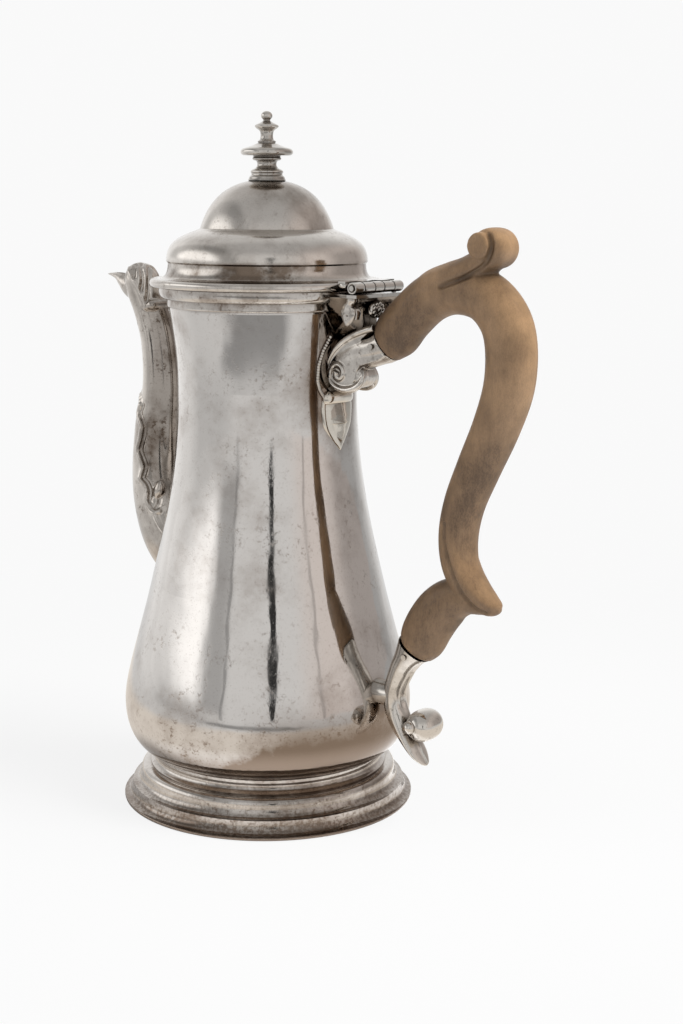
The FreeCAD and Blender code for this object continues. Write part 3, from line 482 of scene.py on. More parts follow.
SPOUT = [(-33.0, 86.4, 18.4, 12.4), (-44.2, 93.6, 14.2, 12.5), (-50.6, 104.5, 11.4, 11.7),
         (-53.2, 117.0, 10.0, 10.4), (-53.2, 133.0, 8.8, 8.9), (-51.6, 149.0, 7.6, 7.5),
         (-53.0, 165.0, 7.0, 6.8), (-56.8, 176.5, 6.7, 6.5), (-60.0, 183.5, 6.9, 6.4),
         (-61.6, 188.0, 6.9, 6.2), (-62.3, 191.2, 5.7, 5.2), (-62.6, 193.1, 3.6, 3.4),
         (-62.7, 194.0, 0.8, 0.8)]
LIP = [(-60.0, 183.6, 6.0, 5.4), (-66.0, 185.4, 5.0, 5.0), (-70.0, 187.1, 3.1, 3.8),
       (-73.2, 188.5, 1.7, 2.5), (-77.0, 189.1, 0.7, 1.2), (-79.2, 189.2, 0.25, 0.45)]
CHANNEL = [(-61.5, 185.0, 3.4, 3.4), (-66.0, 188.4, 3.0, 3.4), (-70.0, 190.4, 2.2, 2.6),
           (-74.0, 191.0, 1.5, 1.5), (-77.0, 190.9, 0.7, 0.5)]
LEAF_RIM = [(-56.1, -7.2, 141.1), (-56.8, -7.4, 138.1), (-55.1, -8.4, 135.7), (-53.7, -8.9, 133.2),
            (-54.2, -9.2, 129.4), (-55.2, -9.6, 125.5), (-55.1, -9.7, 123.6), (-53.5, -10.1, 120.8),
            (-52.6, -10.3, 118.2), (-53.1, -11.0, 115.2), (-52.9, -11.5, 113.8), (-51.1, -10.9, 111.8),
            (-49.8, -11.0, 109.5), (-49.6, -11.5, 106.1), (-48.5, -11.7, 103.4), (-46.4, -11.6, 101.6),
            (-43.8, -11.0, 102.4)]
LEAF_GROOVE = [(-54.5, -7.8, 141.3), (-55.5, -7.9, 138.2), (-54.3, -8.5, 135.7), (-52.7, -8.9, 133.2),
               (-52.9, -9.2, 129.5), (-53.9, -9.6, 125.6), (-53.8, -9.8, 123.8), (-52.3, -10.0, 120.9),
               (-51.3, -10.1, 118.3), (-52.0, -10.6, 115.2), (-51.9, -11.0, 113.8), (-49.9, -10.6, 112.1),
               (-48.6, -10.8, 109.5), (-48.4, -11.3, 106.2), (-47.4, -11.5, 104.2), (-46.2, -11.3, 103.2),
               (-45.0, -10.8, 103.9), (-44.6, -9.8, 106.2), (-45.4, -9.5, 108.4)]
HOOD_EDGE = [(-65.6, -3.6, 193.0), (-64.3, -4.8, 192.0), (-62.0, -6.1, 189.9), (-59.4, -6.5, 187.2),
             (-57.3, -6.3, 184.5), (-56.0, -6.4, 181.9), (-54.6, -6.3, 179.4), (-53.8, -6.0, 177.0)]
HOOD_FLUTES = ([(-62.4, -2.6, 193.9), (-61.2, -4.3, 192.8), (-60.3, -5.8, 190.6), (-60.0, -6.4, 188.8)],
               [(-60.4, -1.6, 193.7), (-58.8, -3.3, 192.5), (-57.5, -4.2, 190.3), (-56.7, -4.8, 187.8),
                (-56.5, -5.4, 185.6), (-56.4, -6.0, 184.1)],
               [(-57.0, -0.9, 192.6), (-55.1, -3.1, 187.8), (-54.4, -4.2, 183.4), (-53.9, -5.4, 180.6)])

HOOK = [(-46.9, 104.9, 0.4, 0.4), (-46.6, 106.4, 1.3, 1.3), (-45.8, 109.4, 2.1, 2.0),
        (-45.0, 112.2, 1.6, 1.4), (-44.6, 113.8, 0.4, 0.4)]
CAST_WALL = 1.9

knob = roll("knob", -52.0, 178.7, [(0, 2.3, 1.9), (3.8, 2.3, 1.9), (5.4, 2.0, 1.6), (6.2, 1.2, 1.0),
                                   (6.5, 0.3, 0.3)])
forms = [limb("lip", LIP, 156, 180, sides=48, steps=8), knob]
for side in (-1, 1):
    forms.append(shifted(limb("hook", HOOK, 80, 80, sides=24, steps=4), side * 9.0))
spout = joined(limb("spout_casting", SPOUT, 172, 99, 120, 14, spout_relief, sharp=60), forms)
softened(spout, voxel=0.38, rounds=2)
inner = [(x, z, depth - CAST_WALL, width - CAST_WALL) for x, z, depth, width in SPOUT[:-4]]
bore = limb("bore", [(-15.0, 82.5, 17.0, 10.7)] + inner, 172, 112, sides=48, steps=6)
softened(bore, voxel=0.6, rounds=1)
combined(spout, bore, "DIFFERENCE")
combined(spout, limb("channel", CHANNEL, 140, 186, sides=40, steps=8), "DIFFERENCE")
cut_to_wall(spout)
chased(spout, LEAF_RIM, width=1.5, depth=-0.8)
chased(spout, LEAF_GROOVE, width=1.4, depth=0.6)
chased(spout, HOOD_EDGE, width=1.3, depth=-0.6)
for flute in HOOD_FLUTES:
    chased(spout, flute, width=1.3, depth=0.9)


def shown(piece, material, slot, body, *nodes):
    """Gives a piece its material, the body that it moves with and the solids it stands for; the slot is not
    used.
    """
    piece.data.materials.clear()
    piece.data.materials.append(material)
    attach(piece, body)
    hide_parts(*nodes)


shown(spout, spout_silver, "cast_silver", "pot", "spout")


# Foot collar. A drawn silver strip bent to a ring, hollow in the middle with a fillet at each edge, and
# soldered between the body and the foot.
COLLAR = [(40.4, 13.0), (43.4, 13.0), (43.5, 13.5), (43.0, 13.9), (42.5, 14.2), (42.0, 14.8), (41.8, 15.6),
          (41.9, 16.4), (42.3, 17.0), (42.3, 17.5), (42.5, 18.1), (42.2, 18.3), (40.4, 18.3), (40.4, 13.0)]
collar = turned("foot_collar_ring", COLLAR, steps=160, sharp=40)
shown(collar, turned_silver, "turned_silver", "pot", "foot_collar")


# Upper handle socket. A cast silver drum with a C-scroll round its flat sides, a spiral within it, and a
# roll below; it stands on a beaded cartouche, and a faceted drop hangs under it from a cuff. A pin holds the
# handle's tenon.
def balls(name, places):
    """Small drops of silver; each place has x, y, z and a radius."""
    piece = new_piece(name)
    for x, y, z, radius in places:
        bpy.ops.mesh.primitive_uv_sphere_add(segments=16, ring_count=10, radius=radius * MM,
                                             location=(x * MM, y * MM, z * MM))
    return closed(piece, 60)


def slab(name, outline, half_width):
    """A plate between two widths along Y, with an outline of x and z."""
    piece = new_piece(name)
    bpy.ops.mesh.primitive_circle_add(vertices=len(outline), radius=MM, fill_type="NGON")
    bpy.ops.object.mode_set(mode="OBJECT")
    for vertex, (x, z) in zip(piece.data.vertices, outline):
        vertex.co = (x * MM, -half_width * MM, z * MM)
    bpy.ops.object.mode_set(mode="EDIT")
    bpy.ops.mesh.select_all(action="SELECT")
    bpy.ops.mesh.extrude_region_move(TRANSFORM_OT_translate={"value": (0, 2 * half_width * MM, 0)})
    return closed(piece, 30)


C_SCROLL = [(51.0, 175.4), (44.6, 173.8), (38.2, 170.6), (33.8, 166.8), (31.2, 162.8), (30.8, 159.4),
            (32.1, 156.3), (34.8, 154.2), (38.4, 153.4)]
C_END = [(42.2, 4.9, 153.9), (45.0, 4.2, 155.8), (46.1, 3.6, 158.8), (45.1, 3.0, 161.2)]
CHEEK_EDGE = [(41.4, 154.8), (43.0, 157.2), (43.6, 160.0), (45.2, 162.2), (48.4, 163.2), (53.0, 164.6),
              (56.0, 166.4)]
SPIRAL = [(32.4, 157.8), (33.0, 161.2), (35.4, 162.7), (38.0, 161.5), (38.6, 158.8), (36.8, 156.9),
          (35.0, 158.0), (35.7, 159.8)]
DRUM = [(30.0, 162.4, 8.4, 5.2), (37.0, 164.4, 8.0, 5.3), (43.0, 167.0, 7.2, 5.5), (48.5, 168.2, 6.2, 5.7),
        (53.2, 169.9, 6.7, 5.9)]
HALF_DRUM = 5.2

upper = limb("upper_socket_casting", DRUM, 18, 36, sides=48, steps=6)
ornaments = [slab("cheeks", C_SCROLL + CHEEK_EDGE, HALF_DRUM),
             roll("volute", 42.6, 158.5, [(0, 4.2, 4.2), (2.2, 4.1, 4.1), (3.6, 3.4, 3.4), (4.6, 2.2, 2.2),
                                          (5.0, 0.5, 0.5)])]
for side in (-1, 1):
    swell = [1.2, 1.1, 1.0, 1.0, 1.0, 1.0, 1.0, 1.0, 1.1, 1.3, 1.3, 1.0, 0.5]
    line = [(x, side * HALF_DRUM, z) for x, z in C_SCROLL] + [(x, side * y, z) for x, y, z in C_END]
    ornaments.append(strand("c_scroll", line, swell))
    ornaments.append(strand("spiral", [(x, side * (HALF_DRUM + 0.2), z) for x, z in SPIRAL],
                            [0.8, 0.9, 0.9, 0.9, 0.9, 0.9, 1.0, 1.4]))
joined(upper, ornaments)
softened(upper, voxel=0.26, rounds=3)
cut_to_wall(upper)
shown(upper, cast_silver, "cast_silver", "pot", "upper_socket")


def down_the_wall(rounds, sunk):
    """Stations down the body's wall, sunk into it a little, from rounds of height, depth and width."""
    return [(wall_radius(z) - sunk, z, depth, width) for z, depth, width in rounds]


DROP_SUNK = 0.6
DROP = ((151.0, 1.3, 6.0), (147.0, 2.3, 7.2), (143.5, 3.0, 7.0), (141.3, 3.3, 6.6), (140.9, 3.0, 6.1),
        (138.0, 2.4, 5.0), (135.0, 1.6, 2.9), (133.2, 0.7, 0.6), (132.9, 0.3, 0.2))
BACKING = ((151.0, 1.6, 7.4), (147.0, 1.6, 8.4), (141.2, 1.6, 7.8), (138.0, 1.5, 6.2), (134.6, 1.4, 3.6),
           (132.0, 1.2, 0.9), (131.4, 0.4, 0.2))
CUFF = ((152.6, 2.6, 6.4), (151.2, 3.4, 7.7), (149.8, 3.4, 7.9), (148.6, 2.9, 7.6), (148.1, 1.6, 7.0))
RIDGE = ((150.0, 1.5), (147.0, 2.3), (143.5, 3.0), (141.3, 3.2), (138.0, 2.4), (135.2, 1.6))

drop = limb("socket_drop", down_the_wall(DROP, DROP_SUNK), -90, -90, sides=4, steps=1, sharp=10)
backing = limb("drop_backing", down_the_wall(BACKING, 0.9), -90, -90, sides=24, steps=3)
ridge = [(wall_radius(z) - DROP_SUNK + depth, 0.0, z) for z, depth in RIDGE]
combined(drop, strand("ridge", ridge, [0.28] * 5 + [0.15]), "DIFFERENCE")
cuff = limb("drop_cuff", down_the_wall(CUFF, DROP_SUNK), -90, -90, sides=32, steps=4)
joined(drop, [backing, cuff])
drop_silver = silver("drop_silver", (0.76, 0.71, 0.63), (0.2, 0.15, 0.11), gloss=0.06, wave=0.0001,
                     spread=0.25, recess=0.9)
shown(drop, drop_silver, "cast_silver", "pot", "upper_socket_drop")

CARTOUCHE = ((149.5, 6.4), (153.0, 9.0), (157.0, 10.2), (162.0, 10.0), (167.0, 8.6), (171.5, 6.2))
CARTOUCHE_LOW, CARTOUCHE_HIGH = CARTOUCHE[0][0], CARTOUCHE[-1][0]
BEADED_ABOVE, EDGED_BELOW = 156.5, 158
BEADS = 24
beads = []
edges = []
for side in (-1, 1):
    edge = []
    for i in range(BEADS + 1):
        height = CARTOUCHE_LOW + (CARTOUCHE_HIGH - CARTOUCHE_LOW) * i / BEADS
        reach = along(CARTOUCHE, height)
        ground = math.sqrt(wall_radius(height) ** 2 - reach ** 2)
        if height > BEADED_ABOVE:
            beads.append((ground + 0.3, side * reach, height, 0.75))
        if height < EDGED_BELOW:
            edge.append((ground + 0.2, side * reach, height))
    edges.append(strand("edge", edge, [0.2, 0.5] + [0.7] * (len(edge) - 3) + [0.3]))
border = joined(balls("socket_beads", beads), edges)
shown(border, cast_silver, "cast_silver", "pot")
# A darker copy of the silver, as painted shade on the socket's plate and the hinge bracket, which stand in
# shade.
shaded_silver = silver("shaded_silver", (0.34, 0.295, 0.25), (0.055, 0.042, 0.03), gloss=0.16, wave=0.0001,
                     spread=0.8, recess=1.7)
dress(shaded_silver, "upper_socket_plate")
dress(cast_silver, "upper_handle_pin")


# Lower handle socket. A cast silver scroll that stands off the belly on a small pad, with a bud in its bend
# and a leaf at its tip.
def hollow_front(x, z, angle):
    """The groove down the outer side of the lower socket, and the ridge of its leaf."""
    front = math.pi - abs(angle)
    groove = -1.7 * math.exp(-(front / 0.55) ** 2) * smoothstep(40, 45, z) * smoothstep(63, 58, z)
    return groove + 0.7 * math.exp(-(front / 0.25) ** 2) * smoothstep(33, 29, z)


LOWER = [(66.2, 65.6, 6.8, 5.9), (65.2, 64.0, 6.2, 5.7), (63.2, 60.8, 5.2, 5.2), (61.0, 57.0, 4.6, 4.8),
         (58.1, 49.0, 4.0, 4.3), (59.2, 41.0, 4.1, 4.4), (64.0, 33.6, 2.7, 4.8), (68.2, 28.4, 1.4, 4.6),
         (71.0, 25.4, 0.7, 2.4), (71.8, 24.6, 0.3, 0.5)]
BUD_NECK = [(59.6, 37.6, 2.2, 3.6), (65.0, 36.4, 2.2, 3.6), (69.0, 37.6, 2.4, 3.4)]

lower = limb("lower_socket_casting", LOWER, 235, -42, sides=56, steps=7, relief=hollow_front, sharp=60)
bud = roll("bud", 70.6, 39.0, [(0, 5.6, 5.6), (2.6, 5.4, 5.4), (4.6, 4.7, 4.7), (6.1, 3.4, 3.4),
                               (6.9, 1.9, 1.9), (7.1, 0.5, 0.5)])
neck = limb("bud_neck", BUD_NECK, -10, 20, sides=32, steps=4)
eyes = balls("eyes", [(69.0, side * 7.0, 39.4, 2.3) for side in (-1, 1)])
joined(lower, [bud, neck, eyes])
shown(lower, cast_silver, "cast_silver", "pot", "lower_socket")
dress(cast_silver, "lower_socket_pad", "lower_handle_pin")


# Handle. Carved from one piece of fruitwood, with a tenon in each socket, a strap on top that curls into a
# thumb scroll, and a spur behind the lower bend. Old handling has left it dry, with a soft sheen.
WOOD_DARK = (0.08, 0.046, 0.023, 1.0)
WOOD_PALE = (0.26, 0.16, 0.084, 1.0)
# The colour of the dark pores and of the painted shade in the wood's hollows.
WOOD_PORE_AND_SHADE = (0.05, 0.032, 0.02, 1.0)


def fruitwood():
    """Brown wood with long pores, darker next to the upper socket and towards the bottom, with painted light
    on its highest part and the outer side of the grip, and painted shade in its hollows.
    """
    made, shader, place = new_material("fruitwood")
    hollow = place.shelter(0.012)
    broad = place.noise(55.0, 3.0, 0.6)
    streaks = place.stretched(1.0, 1.0, 0.22).noise(420.0, 5.0, 0.75)
    pores = place.stretched(1.0, 1.0, 0.45).noise(2100.0, 2.0, 0.6)
    tone = broad.ramp(0.3, 0.7) * 0.5 + streaks.ramp(0.3, 0.7) * 0.25 + pores.ramp(0.35, 0.65) * 0.25
    # Painted shade: the wood darkened where it is sheltered, in its hollows and creases, together with its
    # dark pores.
    shade = ((1.0 - hollow) * 1.2 + pores.ramp(0.58, 0.68) * 0.3).clamped()
    out, height = place.axis("X"), place.axis("Z")
    # Darker next to the upper socket; painted light on the outer side of the grip and on the thumb scroll's
    # highest part; darker towards the bottom.
    socket_darkening = out.ramp(0.08, 0.058) * height.ramp(0.15, 0.17)
    painted_light = (out.ramp(0.096, 0.108) * height.ramp(0.14, 0.165) + height.ramp(0.196, 0.206)).clamped()
    tone = (tone + 0.22 * painted_light - 0.3 * socket_darkening - 0.18 * height.ramp(0.165, 0.11)).clamped()
    shade.blend(tone.blend(WOOD_DARK, WOOD_PALE), WOOD_PORE_AND_SHADE).into(shader, "Base Color")
    (0.42 + pores.ramp(0.3, 0.7) * 0.2).into(shader, "Roughness")
    relief = streaks * 0.00004 + pores * 0.00004
    relief.embossed(shader)
    return made


GRIP = [(53.4, 170.0, 6.4, 5.8), (54.3, 170.7, 7.3, 6.6), (57.2, 173.6, 8.5, 7.3), (62.4, 179.2, 8.2, 7.4),
        (70.8, 186.0, 8.1, 7.7), (80.5, 189.2, 8.2, 8.0), (91.5, 187.6, 8.4, 8.0), (99.0, 181.0, 8.6, 8.0),
        (102.1, 172.0, 8.7, 8.0), (101.7, 159.0, 8.5, 8.0), (97.3, 145.5, 8.0, 7.7), (90.9, 131.5, 7.5, 7.3),
        (85.4, 118.5, 7.0, 7.0), (83.2, 107.0, 6.7, 6.8), (84.5, 96.8, 6.2, 6.5), (89.2, 88.9, 5.0, 5.8),
        (95.8, 84.8, 3.0, 4.6), (99.2, 83.7, 1.4, 2.8), (99.8, 83.5, 0.5, 1.0)]
ARM = [(66.9, 66.2, 6.6, 5.9), (67.8, 67.4, 7.6, 6.6), (69.6, 70.2, 8.5, 7.0), (72.4, 75.4, 8.7, 7.0),
       (76.6, 81.0, 8.5, 6.8), (81.8, 85.2, 7.6, 6.4), (88.0, 86.6, 5.7, 5.6), (94.0, 85.6, 3.9, 4.6),
       (98.6, 84.4, 2.1, 3.2), (100.2, 83.9, 0.6, 1.0)]
LOBE = [(86.0, 120.0, 4.4, 6.0), (83.6, 110.0, 4.7, 6.9), (83.9, 102.0, 4.8, 7.3), (86.8, 95.0, 4.6, 7.1),
        (91.0, 90.0, 4.1, 6.3), (95.4, 86.8, 3.1, 5.0), (98.9, 85.0, 1.9, 3.3), (100.2, 84.4, 0.6, 1.0)]
STRAP = [(64.5, 183.5, 4.5, 5.0), (71.4, 190.0, 5.0, 7.3), (79.3, 193.2, 5.0, 8.3), (85.4, 195.2, 4.9, 8.1),
         (90.4, 197.6, 5.0, 7.2), (94.4, 200.8, 5.0, 6.5), (95.6, 203.6, 4.2, 6.0)]

handle = limb("handle_wood", GRIP, 36, -14, sides=48, steps=6)
combined(handle, limb("arm", ARM, 55, -14, sides=48, steps=6), "UNION")
combined(handle, limb("lobe", LOBE, -100, -22, sides=48, steps=6), "UNION")
combined(handle, limb("strap", STRAP, 44, 95, sides=48, steps=6), "UNION")
curl = roll("curl", 95.2, 202.8, [(0, 6.8, 6.7), (2.6, 6.7, 6.6), (4.6, 6.2, 6.2), (5.7, 5.2, 5.2),
                                  (6.2, 3.6, 3.6), (6.3, 0.6, 0.6)])
combined(handle, curl, "UNION")
boss = roll("boss", 93.2, 203.7, [(0, 4.1, 4.3), (6.6, 4.1, 4.3), (7.5, 3.7, 3.9), (7.9, 2.6, 2.8),
                                  (8.0, 0.6, 0.6)])
combined(handle, boss, "UNION")
STRAP_CREASE = [(79.8, 190.3), (84.0, 191.8), (87.6, 193.2), (91.2, 195.2), (94.0, 196.9), (96.2, 199.0),
                (97.6, 202.0), (97.8, 204.6), (96.6, 207.2)]
SPUR_CREASE = [(81.6, 112.0), (82.0, 106.0), (83.6, 101.0), (86.8, 93.4), (89.8, 88.6), (93.2, 85.2),
               (97.0, 83.5)]
creases = []
for crease in (STRAP_CREASE, SPUR_CREASE):
    line = []
    for x, z in crease:
        met, place, _, _ = handle.ray_cast((x * MM, -0.03, z * MM), (0, 1, 0))
        if met:
            line.append((x, place.y / MM, z))
    creases.append(line)
softened(handle, voxel=0.4, rounds=3)
for crease in creases:
    chased(handle, crease, width=1.3, depth=1.0)
shown(handle, fruitwood(), "wood", "pot", "handle")


# Hinge. A barrel of five knuckles on a shelf at the rim, held up by a cast bracket with a rosette and a leaf
# tongue at each end; the lid's leaf laps its flange.
hinge_silver = silver("hinge_silver", (0.64, 0.61, 0.57), (0.09, 0.07, 0.052), gloss=0.07, wave=0.0001,
                      spread=0.5, recess=1.7)
dress(hinge_silver, "hinge_shelf", "hinge_pin", "hinge_lid_knuckles", "hinge_lid_leaf")

HINGE_X, HINGE_Z = 48.0, 188.8
HALF_BARREL = 13.9
PITCH = 2 * HALF_BARREL / 5
KNUCKLE_FOOT = [(47.0, 186.5), (49.0, 186.5), (49.0, 188.0), (47.0, 188.0)]
barrel = []
for i in (0, 2, 4):
    middle = -HALF_BARREL + (i + 0.5) * PITCH
    knuckle = roll("knuckle", HINGE_X, HINGE_Z, [(0, 1.95, 1.95), (PITCH / 2 - 0.6, 1.95, 1.95),
                                                 (PITCH / 2 - 0.35, 1.7, 1.7)])
    foot = slab("knuckle_foot", KNUCKLE_FOOT, PITCH / 2 - 0.4)
    barrel += [shifted(knuckle, middle), shifted(foot, middle)]
pot_knuckles = joined(barrel[0], barrel[1:])
for side in (-1, 1):
    eye = roll("eye", HINGE_X, HINGE_Z, [(0, 1.3, 1.3), (0.6, 1.3, 1.3)])
    combined(pot_knuckles, shifted(eye, side * HALF_BARREL), "DIFFERENCE")
pot_knuckles.name = "pot_knuckles"
shown(pot_knuckles, hinge_silver, "hinge_silver", "pot", "hinge_body_knuckles")

WEB = [(32.0, 185.5), (49.4, 185.5), (48.2, 184.2), (46.6, 182.0), (45.8, 179.0), (45.6, 174.6),
       (42.6, 172.8), (32.0, 172.0)]
WEB_WIDTH = ((173, 0.3), (178, 0.34), (183, 0.5), (184.2, 0.9), (186, 1.0))
bracket = slab("hinge_bracket_casting", WEB, 11.6)
for vertex in bracket.data.vertices:
    vertex.co.y *= along(WEB_WIDTH, vertex.co.z / MM)
softened(bracket, voxel=0.35, rounds=2)
cut_to_wall(bracket)
# The bracket gets the darker silver, as painted shade under the hinge shelf.
shown(bracket, shaded_silver, "cast_silver", "pot", "hinge_bracket")

ROSETTE_Z = 181.2
PETALS = 9
TONGUE = [(47.6, 186.4, 1.2, 1.2), (46.9, 185.2, 1.9, 1.7), (46.0, 183.6, 1.3, 1.2), (45.6, 182.6, 2.2, 1.1),
          (45.4, 180.6, 3.0, 1.2), (45.2, 178.4, 2.3, 1.0), (44.9, 176.6, 0.9, 0.7), (44.8, 176.0, 0.2, 0.3)]
TONGUE_DOTS = ((44.0, 180.4), (45.6, 179.6), (45.0, 178.0))
BRACKET_STRAP = [(46.6, 182.6, 0.7, 1.4), (47.8, 180.8, 0.7, 1.6), (47.4, 178.4, 0.6, 1.2)]
ROSETTE = [(0, 1.6, 3.0), (2.0, 1.4, 2.6), (3.2, 0.8, 1.4), (3.5, 0.2, 0.3)]
trims = [roll("rosette", 47.9, ROSETTE_Z, ROSETTE)]
petals = [(49.4, 0.0, ROSETTE_Z, 0.95)]
for i in range(PETALS):
    turn = math.tau * i / PETALS
    rise = math.sin(turn)
    petals.append((49.0 + 0.2 * rise, 2.4 * math.cos(turn), ROSETTE_Z + 2.1 * rise, 0.75))
trims.append(balls("petals", petals))
for side in (-1, 1):
    tongue = limb("tongue", TONGUE, -120, -95, sides=32, steps=5)
    dots = balls("dots", [(x, -1.25, z, 0.38) for x, z in TONGUE_DOTS])
    combined(tongue, dots, "DIFFERENCE")
    if side > 0:
        tongue.data.transform(Matrix.Scale(-1, 4, (0, 1, 0)))
        tongue.data.flip_normals()
    strap = limb("strap", BRACKET_STRAP, -40, -110, sides=20, steps=5)
    trims += [shifted(tongue, side * 12.0), shifted(strap, side * 9.8)]
leaves = joined(trims[0], trims[1:])
leaves.name = "bracket_leaves"
shown(leaves, cast_silver, "cast_silver", "pot")

LEAF_LOBE = [(42.4, 189.9, 0.3, 0.5), (42.9, 189.9, 0.9, 1.0), (44.2, 189.7, 1.1, 1.3),
             (45.4, 189.6, 0.8, 1.0), (45.8, 189.6, 0.2, 0.4)]
lobes = [shifted(limb("lobe", LEAF_LOBE, 0, 0, sides=24, steps=4), side * 13.0) for side in (-1, 1)]
leaf_ends = joined(lobes[0], lobes[1:])
leaf_ends.name = "leaf_ends"
shown(leaf_ends, hinge_silver, "hinge_silver", "lid")


# Lid. A stepped dome raised and turned in silver, with a half-round wire at its edge, a bezel that drops
# into the mouth, and a turned finial whose stud is held by a washer and nut inside.
def lid_tarnish_and_shade(place, height, patches, pits):
    """Brown stain and painted shade on the ring below the shoulder, a haze over the dome, and painted shade
    darkening its crown.
    """
    band_stain_and_shade = height.ramp(0.1903, 0.1915) * height.ramp(0.1975, 0.1955)
    dome = (height + 0.012 * (patches - 0.5)).ramp(0.202, 0.212)
    top_shade = (height + 0.01 * (patches - 0.5)).ramp(0.212, 0.224)
    stain = band_stain_and_shade * (0.15 + 0.7 * patches.ramp(0.42, 0.6))
    return stain + dome * (0.2 * patches.ramp(0.35, 0.7)) + 0.3 * top_shade


lid_silver = silver("lid_silver", (0.66, 0.62, 0.575), (0.18, 0.138, 0.106), gloss=0.13, wave=0.00015,
                    spread=0.4, recess=0.9, gathered=lid_tarnish_and_shade)
dress(lid_silver, "lid", "lid_rim_wire", "lid_bezel", "finial_washer", "finial_nut")

FINIAL = [(0.0, 224.0), (6.2, 224.0), (6.4, 224.8), (6.1, 225.6), (5.6, 226.0), (5.5, 226.6), (5.8, 227.2),
          (5.3, 227.9), (4.2, 228.4), (3.5, 229.2), (3.4, 230.1), (3.8, 230.9), (4.8, 231.2), (5.1, 231.8),
          (4.8, 232.4), (6.4, 232.6), (8.3, 232.8), (9.1, 233.4), (9.2, 234.3), (8.6, 235.1), (7.2, 235.6),
          (5.3, 236.2), (3.9, 236.8), (3.1, 237.1), (3.2, 237.7), (2.5, 238.2), (2.2, 239.2), (2.3, 240.6),
          (2.7, 241.4), (3.6, 242.0), (4.2, 242.6), (4.1, 243.1), (3.3, 243.6), (2.0, 244.2), (1.2, 244.8),
          (1.4, 245.2), (1.9, 245.8), (2.0, 246.6), (1.6, 247.4), (0.8, 247.9), (0.0, 248.0)]
line = [(max(point[0], 0.0), point[1]) for point in flowing([(x, z, 0, 0) for x, z in FINIAL], 3)]
finial = turned("turned_finial", line, steps=64, sharp=60)
finial_silver = silver("finial_silver", (0.64, 0.605, 0.56), (0.06, 0.045, 0.034), gloss=0.05, wave=0.0001,
                       spread=0.5, recess=1.4)
shown(finial, finial_silver, "turned_silver", "lid", "finial")


# Studio. A white sweep, a soft light on each side, and a camera at the photograph's angle. The sweep and the
# sky are white to the camera. To the silver they are a pale room with a dim table and a dark slit in front.
AZIMUTH = math.radians(40)
UP = Vector((0, 0, 1))
towards = Vector((math.sin(AZIMUTH), -math.cos(AZIMUTH), 0))
across = Vector((math.cos(AZIMUTH), math.sin(AZIMUTH), 0))


def studio_camera():
    """A camera that was fitted to the rings of the foot, rim and lid."""
    data = bpy.data.cameras.new("camera")
    data.sensor_fit = "VERTICAL"
    data.sensor_height = 36
    data.lens = 59.87
    camera = bpy.data.objects.new("camera", data)
    bpy.context.collection.objects.link(camera)
    pitch, yaw, bank = (math.radians(angle) for angle in (10.57, 2.52, 0.31))
    ahead = math.cos(yaw) * -towards + math.sin(yaw) * across
    right = math.cos(yaw) * across + math.sin(yaw) * towards
    forward = math.cos(pitch) * ahead - math.sin(pitch) * UP
    up = math.sin(pitch) * ahead + math.cos(pitch) * UP
    right, up = (math.cos(bank) * right + math.sin(bank) * up, math.cos(bank) * up - math.sin(bank) * right)
    turn = Matrix((right, up, -forward)).transposed().to_4x4()
    camera.matrix_world = Matrix.Translation((0.3922, -0.4674, 0.2196)) @ turn
    bpy.context.scene.camera = camera


studio_camera()


def rays(tree):
    """Whether a ray comes from the camera, and whether it comes from a mirror or through glass."""
    path = tree.nodes.new("ShaderNodeLightPath")
    seen, glossy, clear = (Shade(tree, path.outputs[f"Is {kind} Ray"])
                           for kind in ("Camera", "Glossy", "Transmission"))
    return seen, (glossy + clear).clamped()


def floor():
    """A sheet of white paper under the pot."""
    bpy.ops.object.select_all(action="DESELECT")
    bpy.ops.mesh.primitive_circle_add(vertices=96, radius=6.0, fill_type="NGON")
    disc = bpy.context.object
    disc.name = "floor"
    made, shader, place = new_material("white_paper")
    tree = made.node_tree
    shader.inputs["Base Color"].default_value = (0.94, 0.94, 0.94, 1.0)
    shader.inputs["Roughness"].default_value = 1.0
    seen, mirrored = rays(tree)
    distance = place.length()
    share = (seen * (0.92 + 0.08 * distance.ramp(0.1, 0.4)) + mirrored * distance.ramp(0.05, 0.1)).clamped()
    front, side = place.in_direction(towards), place.in_direction(across)
    # The dim table that the silver mirrors, and the paler and darker parts of the room behind it.
    table = front.ramp(0.3, 0.42) * front.ramp(1.05, 0.45) * side.ramp(0.26, 0.12) * side.ramp(-0.75, -0.5)
    aside, ahead = side / distance, front / distance
    far = 0.25 * ahead.ramp(0.0, -0.5) * aside.ramp(0.6, 0.1)
    far = far - 0.14 * aside.ramp(-0.6, -0.9) - 0.34 * aside.ramp(0.45, 0.85) * ahead.ramp(0.2, -0.2)
    level = seen * (0.92 + 0.03 * distance.ramp(0.1, 0.4))
    near = distance.ramp(0.36, 0.2)
    level = level + mirrored * (0.76 + 0.12 * near + far * distance.ramp(0.3, 1.2) - 0.42 * table)
    tint = (mirrored * near).blend((1.0, 1.0, 1.0, 1.0), (1.0, 0.93, 0.85, 1.0))
    glow = level.node("ShaderNodeEmission", {}, {"Color": tint, "Strength": level})
    mixed = share.node("ShaderNodeMixShader", {}, {0: share, 2: glow})
    tree.links.new(shader.outputs[0], mixed.socket.node.inputs[1])
    tree.links.new(mixed.socket, tree.nodes["Material Output"].inputs["Surface"])
    disc.data.materials.append(made)


floor()


POT_MIDDLE = 0.12 * UP


def softbox(name, place, width, height, power):
    """An area light that points at the pot's middle and isn't mirrored in it."""
    data = bpy.data.lights.new(name, "AREA")
    data.shape = "RECTANGLE"
    data.size = width
    data.size_y = height
    data.energy = power
    lamp = bpy.data.objects.new(name, data)
    bpy.context.collection.objects.link(lamp)
    lamp.location = place
    lamp.rotation_euler = (POT_MIDDLE - place).to_track_quat("-Z", "Y").to_euler()
    lamp.visible_glossy = False


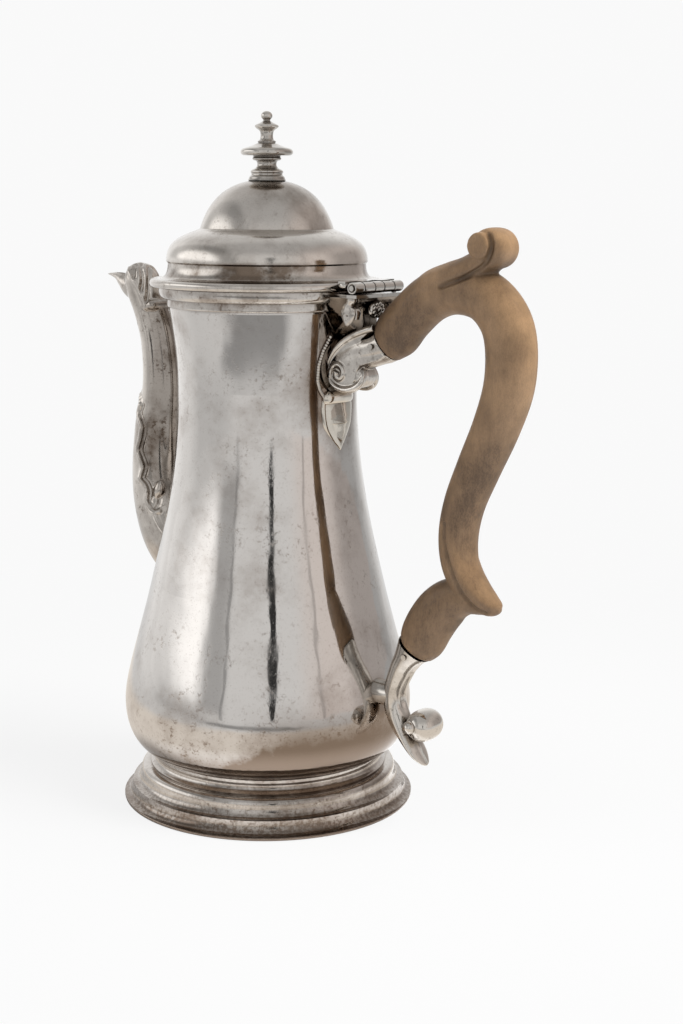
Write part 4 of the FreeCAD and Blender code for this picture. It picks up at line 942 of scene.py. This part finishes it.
softbox("right_light", 0.8 * across + 0.4 * towards + 1.1 * UP, 0.7, 0.7, 32)
softbox("left_light", -1.1 * across + 0.1 * towards + 0.8 * UP, 0.9, 0.9, 9)


def sky():
    """The white room round the pot."""
    world = bpy.data.worlds.new("studio")
    bpy.context.scene.world = world
    world.use_nodes = True
    tree = world.node_tree
    direction = Shade(tree).node("ShaderNodeTexCoord", {}, {}, "Generated")
    seen, mirrored = rays(tree)
    front, side, up = (direction.in_direction(line) for line in (towards, across, UP))
    # The room that the silver mirrors: dimmer at the right, paler behind and at the left, dimmer overhead.
    level = 0.78 - 0.34 * side.ramp(0.45, 0.85) * front.ramp(0.45, -0.05) * up.ramp(0.7, 0.3)
    level = level + 0.25 * front.ramp(0.0, -0.5) * side.ramp(0.6, 0.1)
    level = level + side.ramp(-0.76, -0.9) * (0.75 * up.ramp(0.02, 0.16) - 0.1)
    level = level - 0.3 * side.ramp(-0.5, -0.66) * side.ramp(-0.92, -0.78) * up.ramp(0.0, 0.1)
    level = level * (1.0 - 0.34 * up.ramp(0.35, 0.8))
    # A dark slit in front, and the shaded edge of a wall on each side of it.
    offset = side - 0.07 * front
    slit = offset.absolute() / (0.026 + 0.16 * up)
    dark = slit.ramp(1.0, 0.9) * up.ramp(0.0, 0.03) * up.ramp(0.4, 0.32) * front.ramp(0.5, 0.6)
    level = level * (1.0 - 0.95 * dark)
    for slope, depth in ((-0.75, 0.4), (0.96, 0.35)):
        offset = side - slope * front
        edge = offset.absolute().ramp(0.05, 0.015) * up.ramp(0.75, 0.55) * front.ramp(0.2, 0.35)
        level = level * (1.0 - depth * edge)
    strength = seen * 0.95 + mirrored * level + (1.0 - seen - mirrored) * 0.32
    tint = (mirrored * side.ramp(0.3, 0.8)).blend((1.0, 1.0, 1.0, 1.0), (1.0, 0.92, 0.88, 1.0))
    glow = strength.node("ShaderNodeBackground", {}, {"Color": tint, "Strength": strength})
    tree.links.new(glow.socket, tree.nodes["World Output"].inputs["Surface"])


sky()
bpy.context.scene.view_settings.view_transform = "Standard"
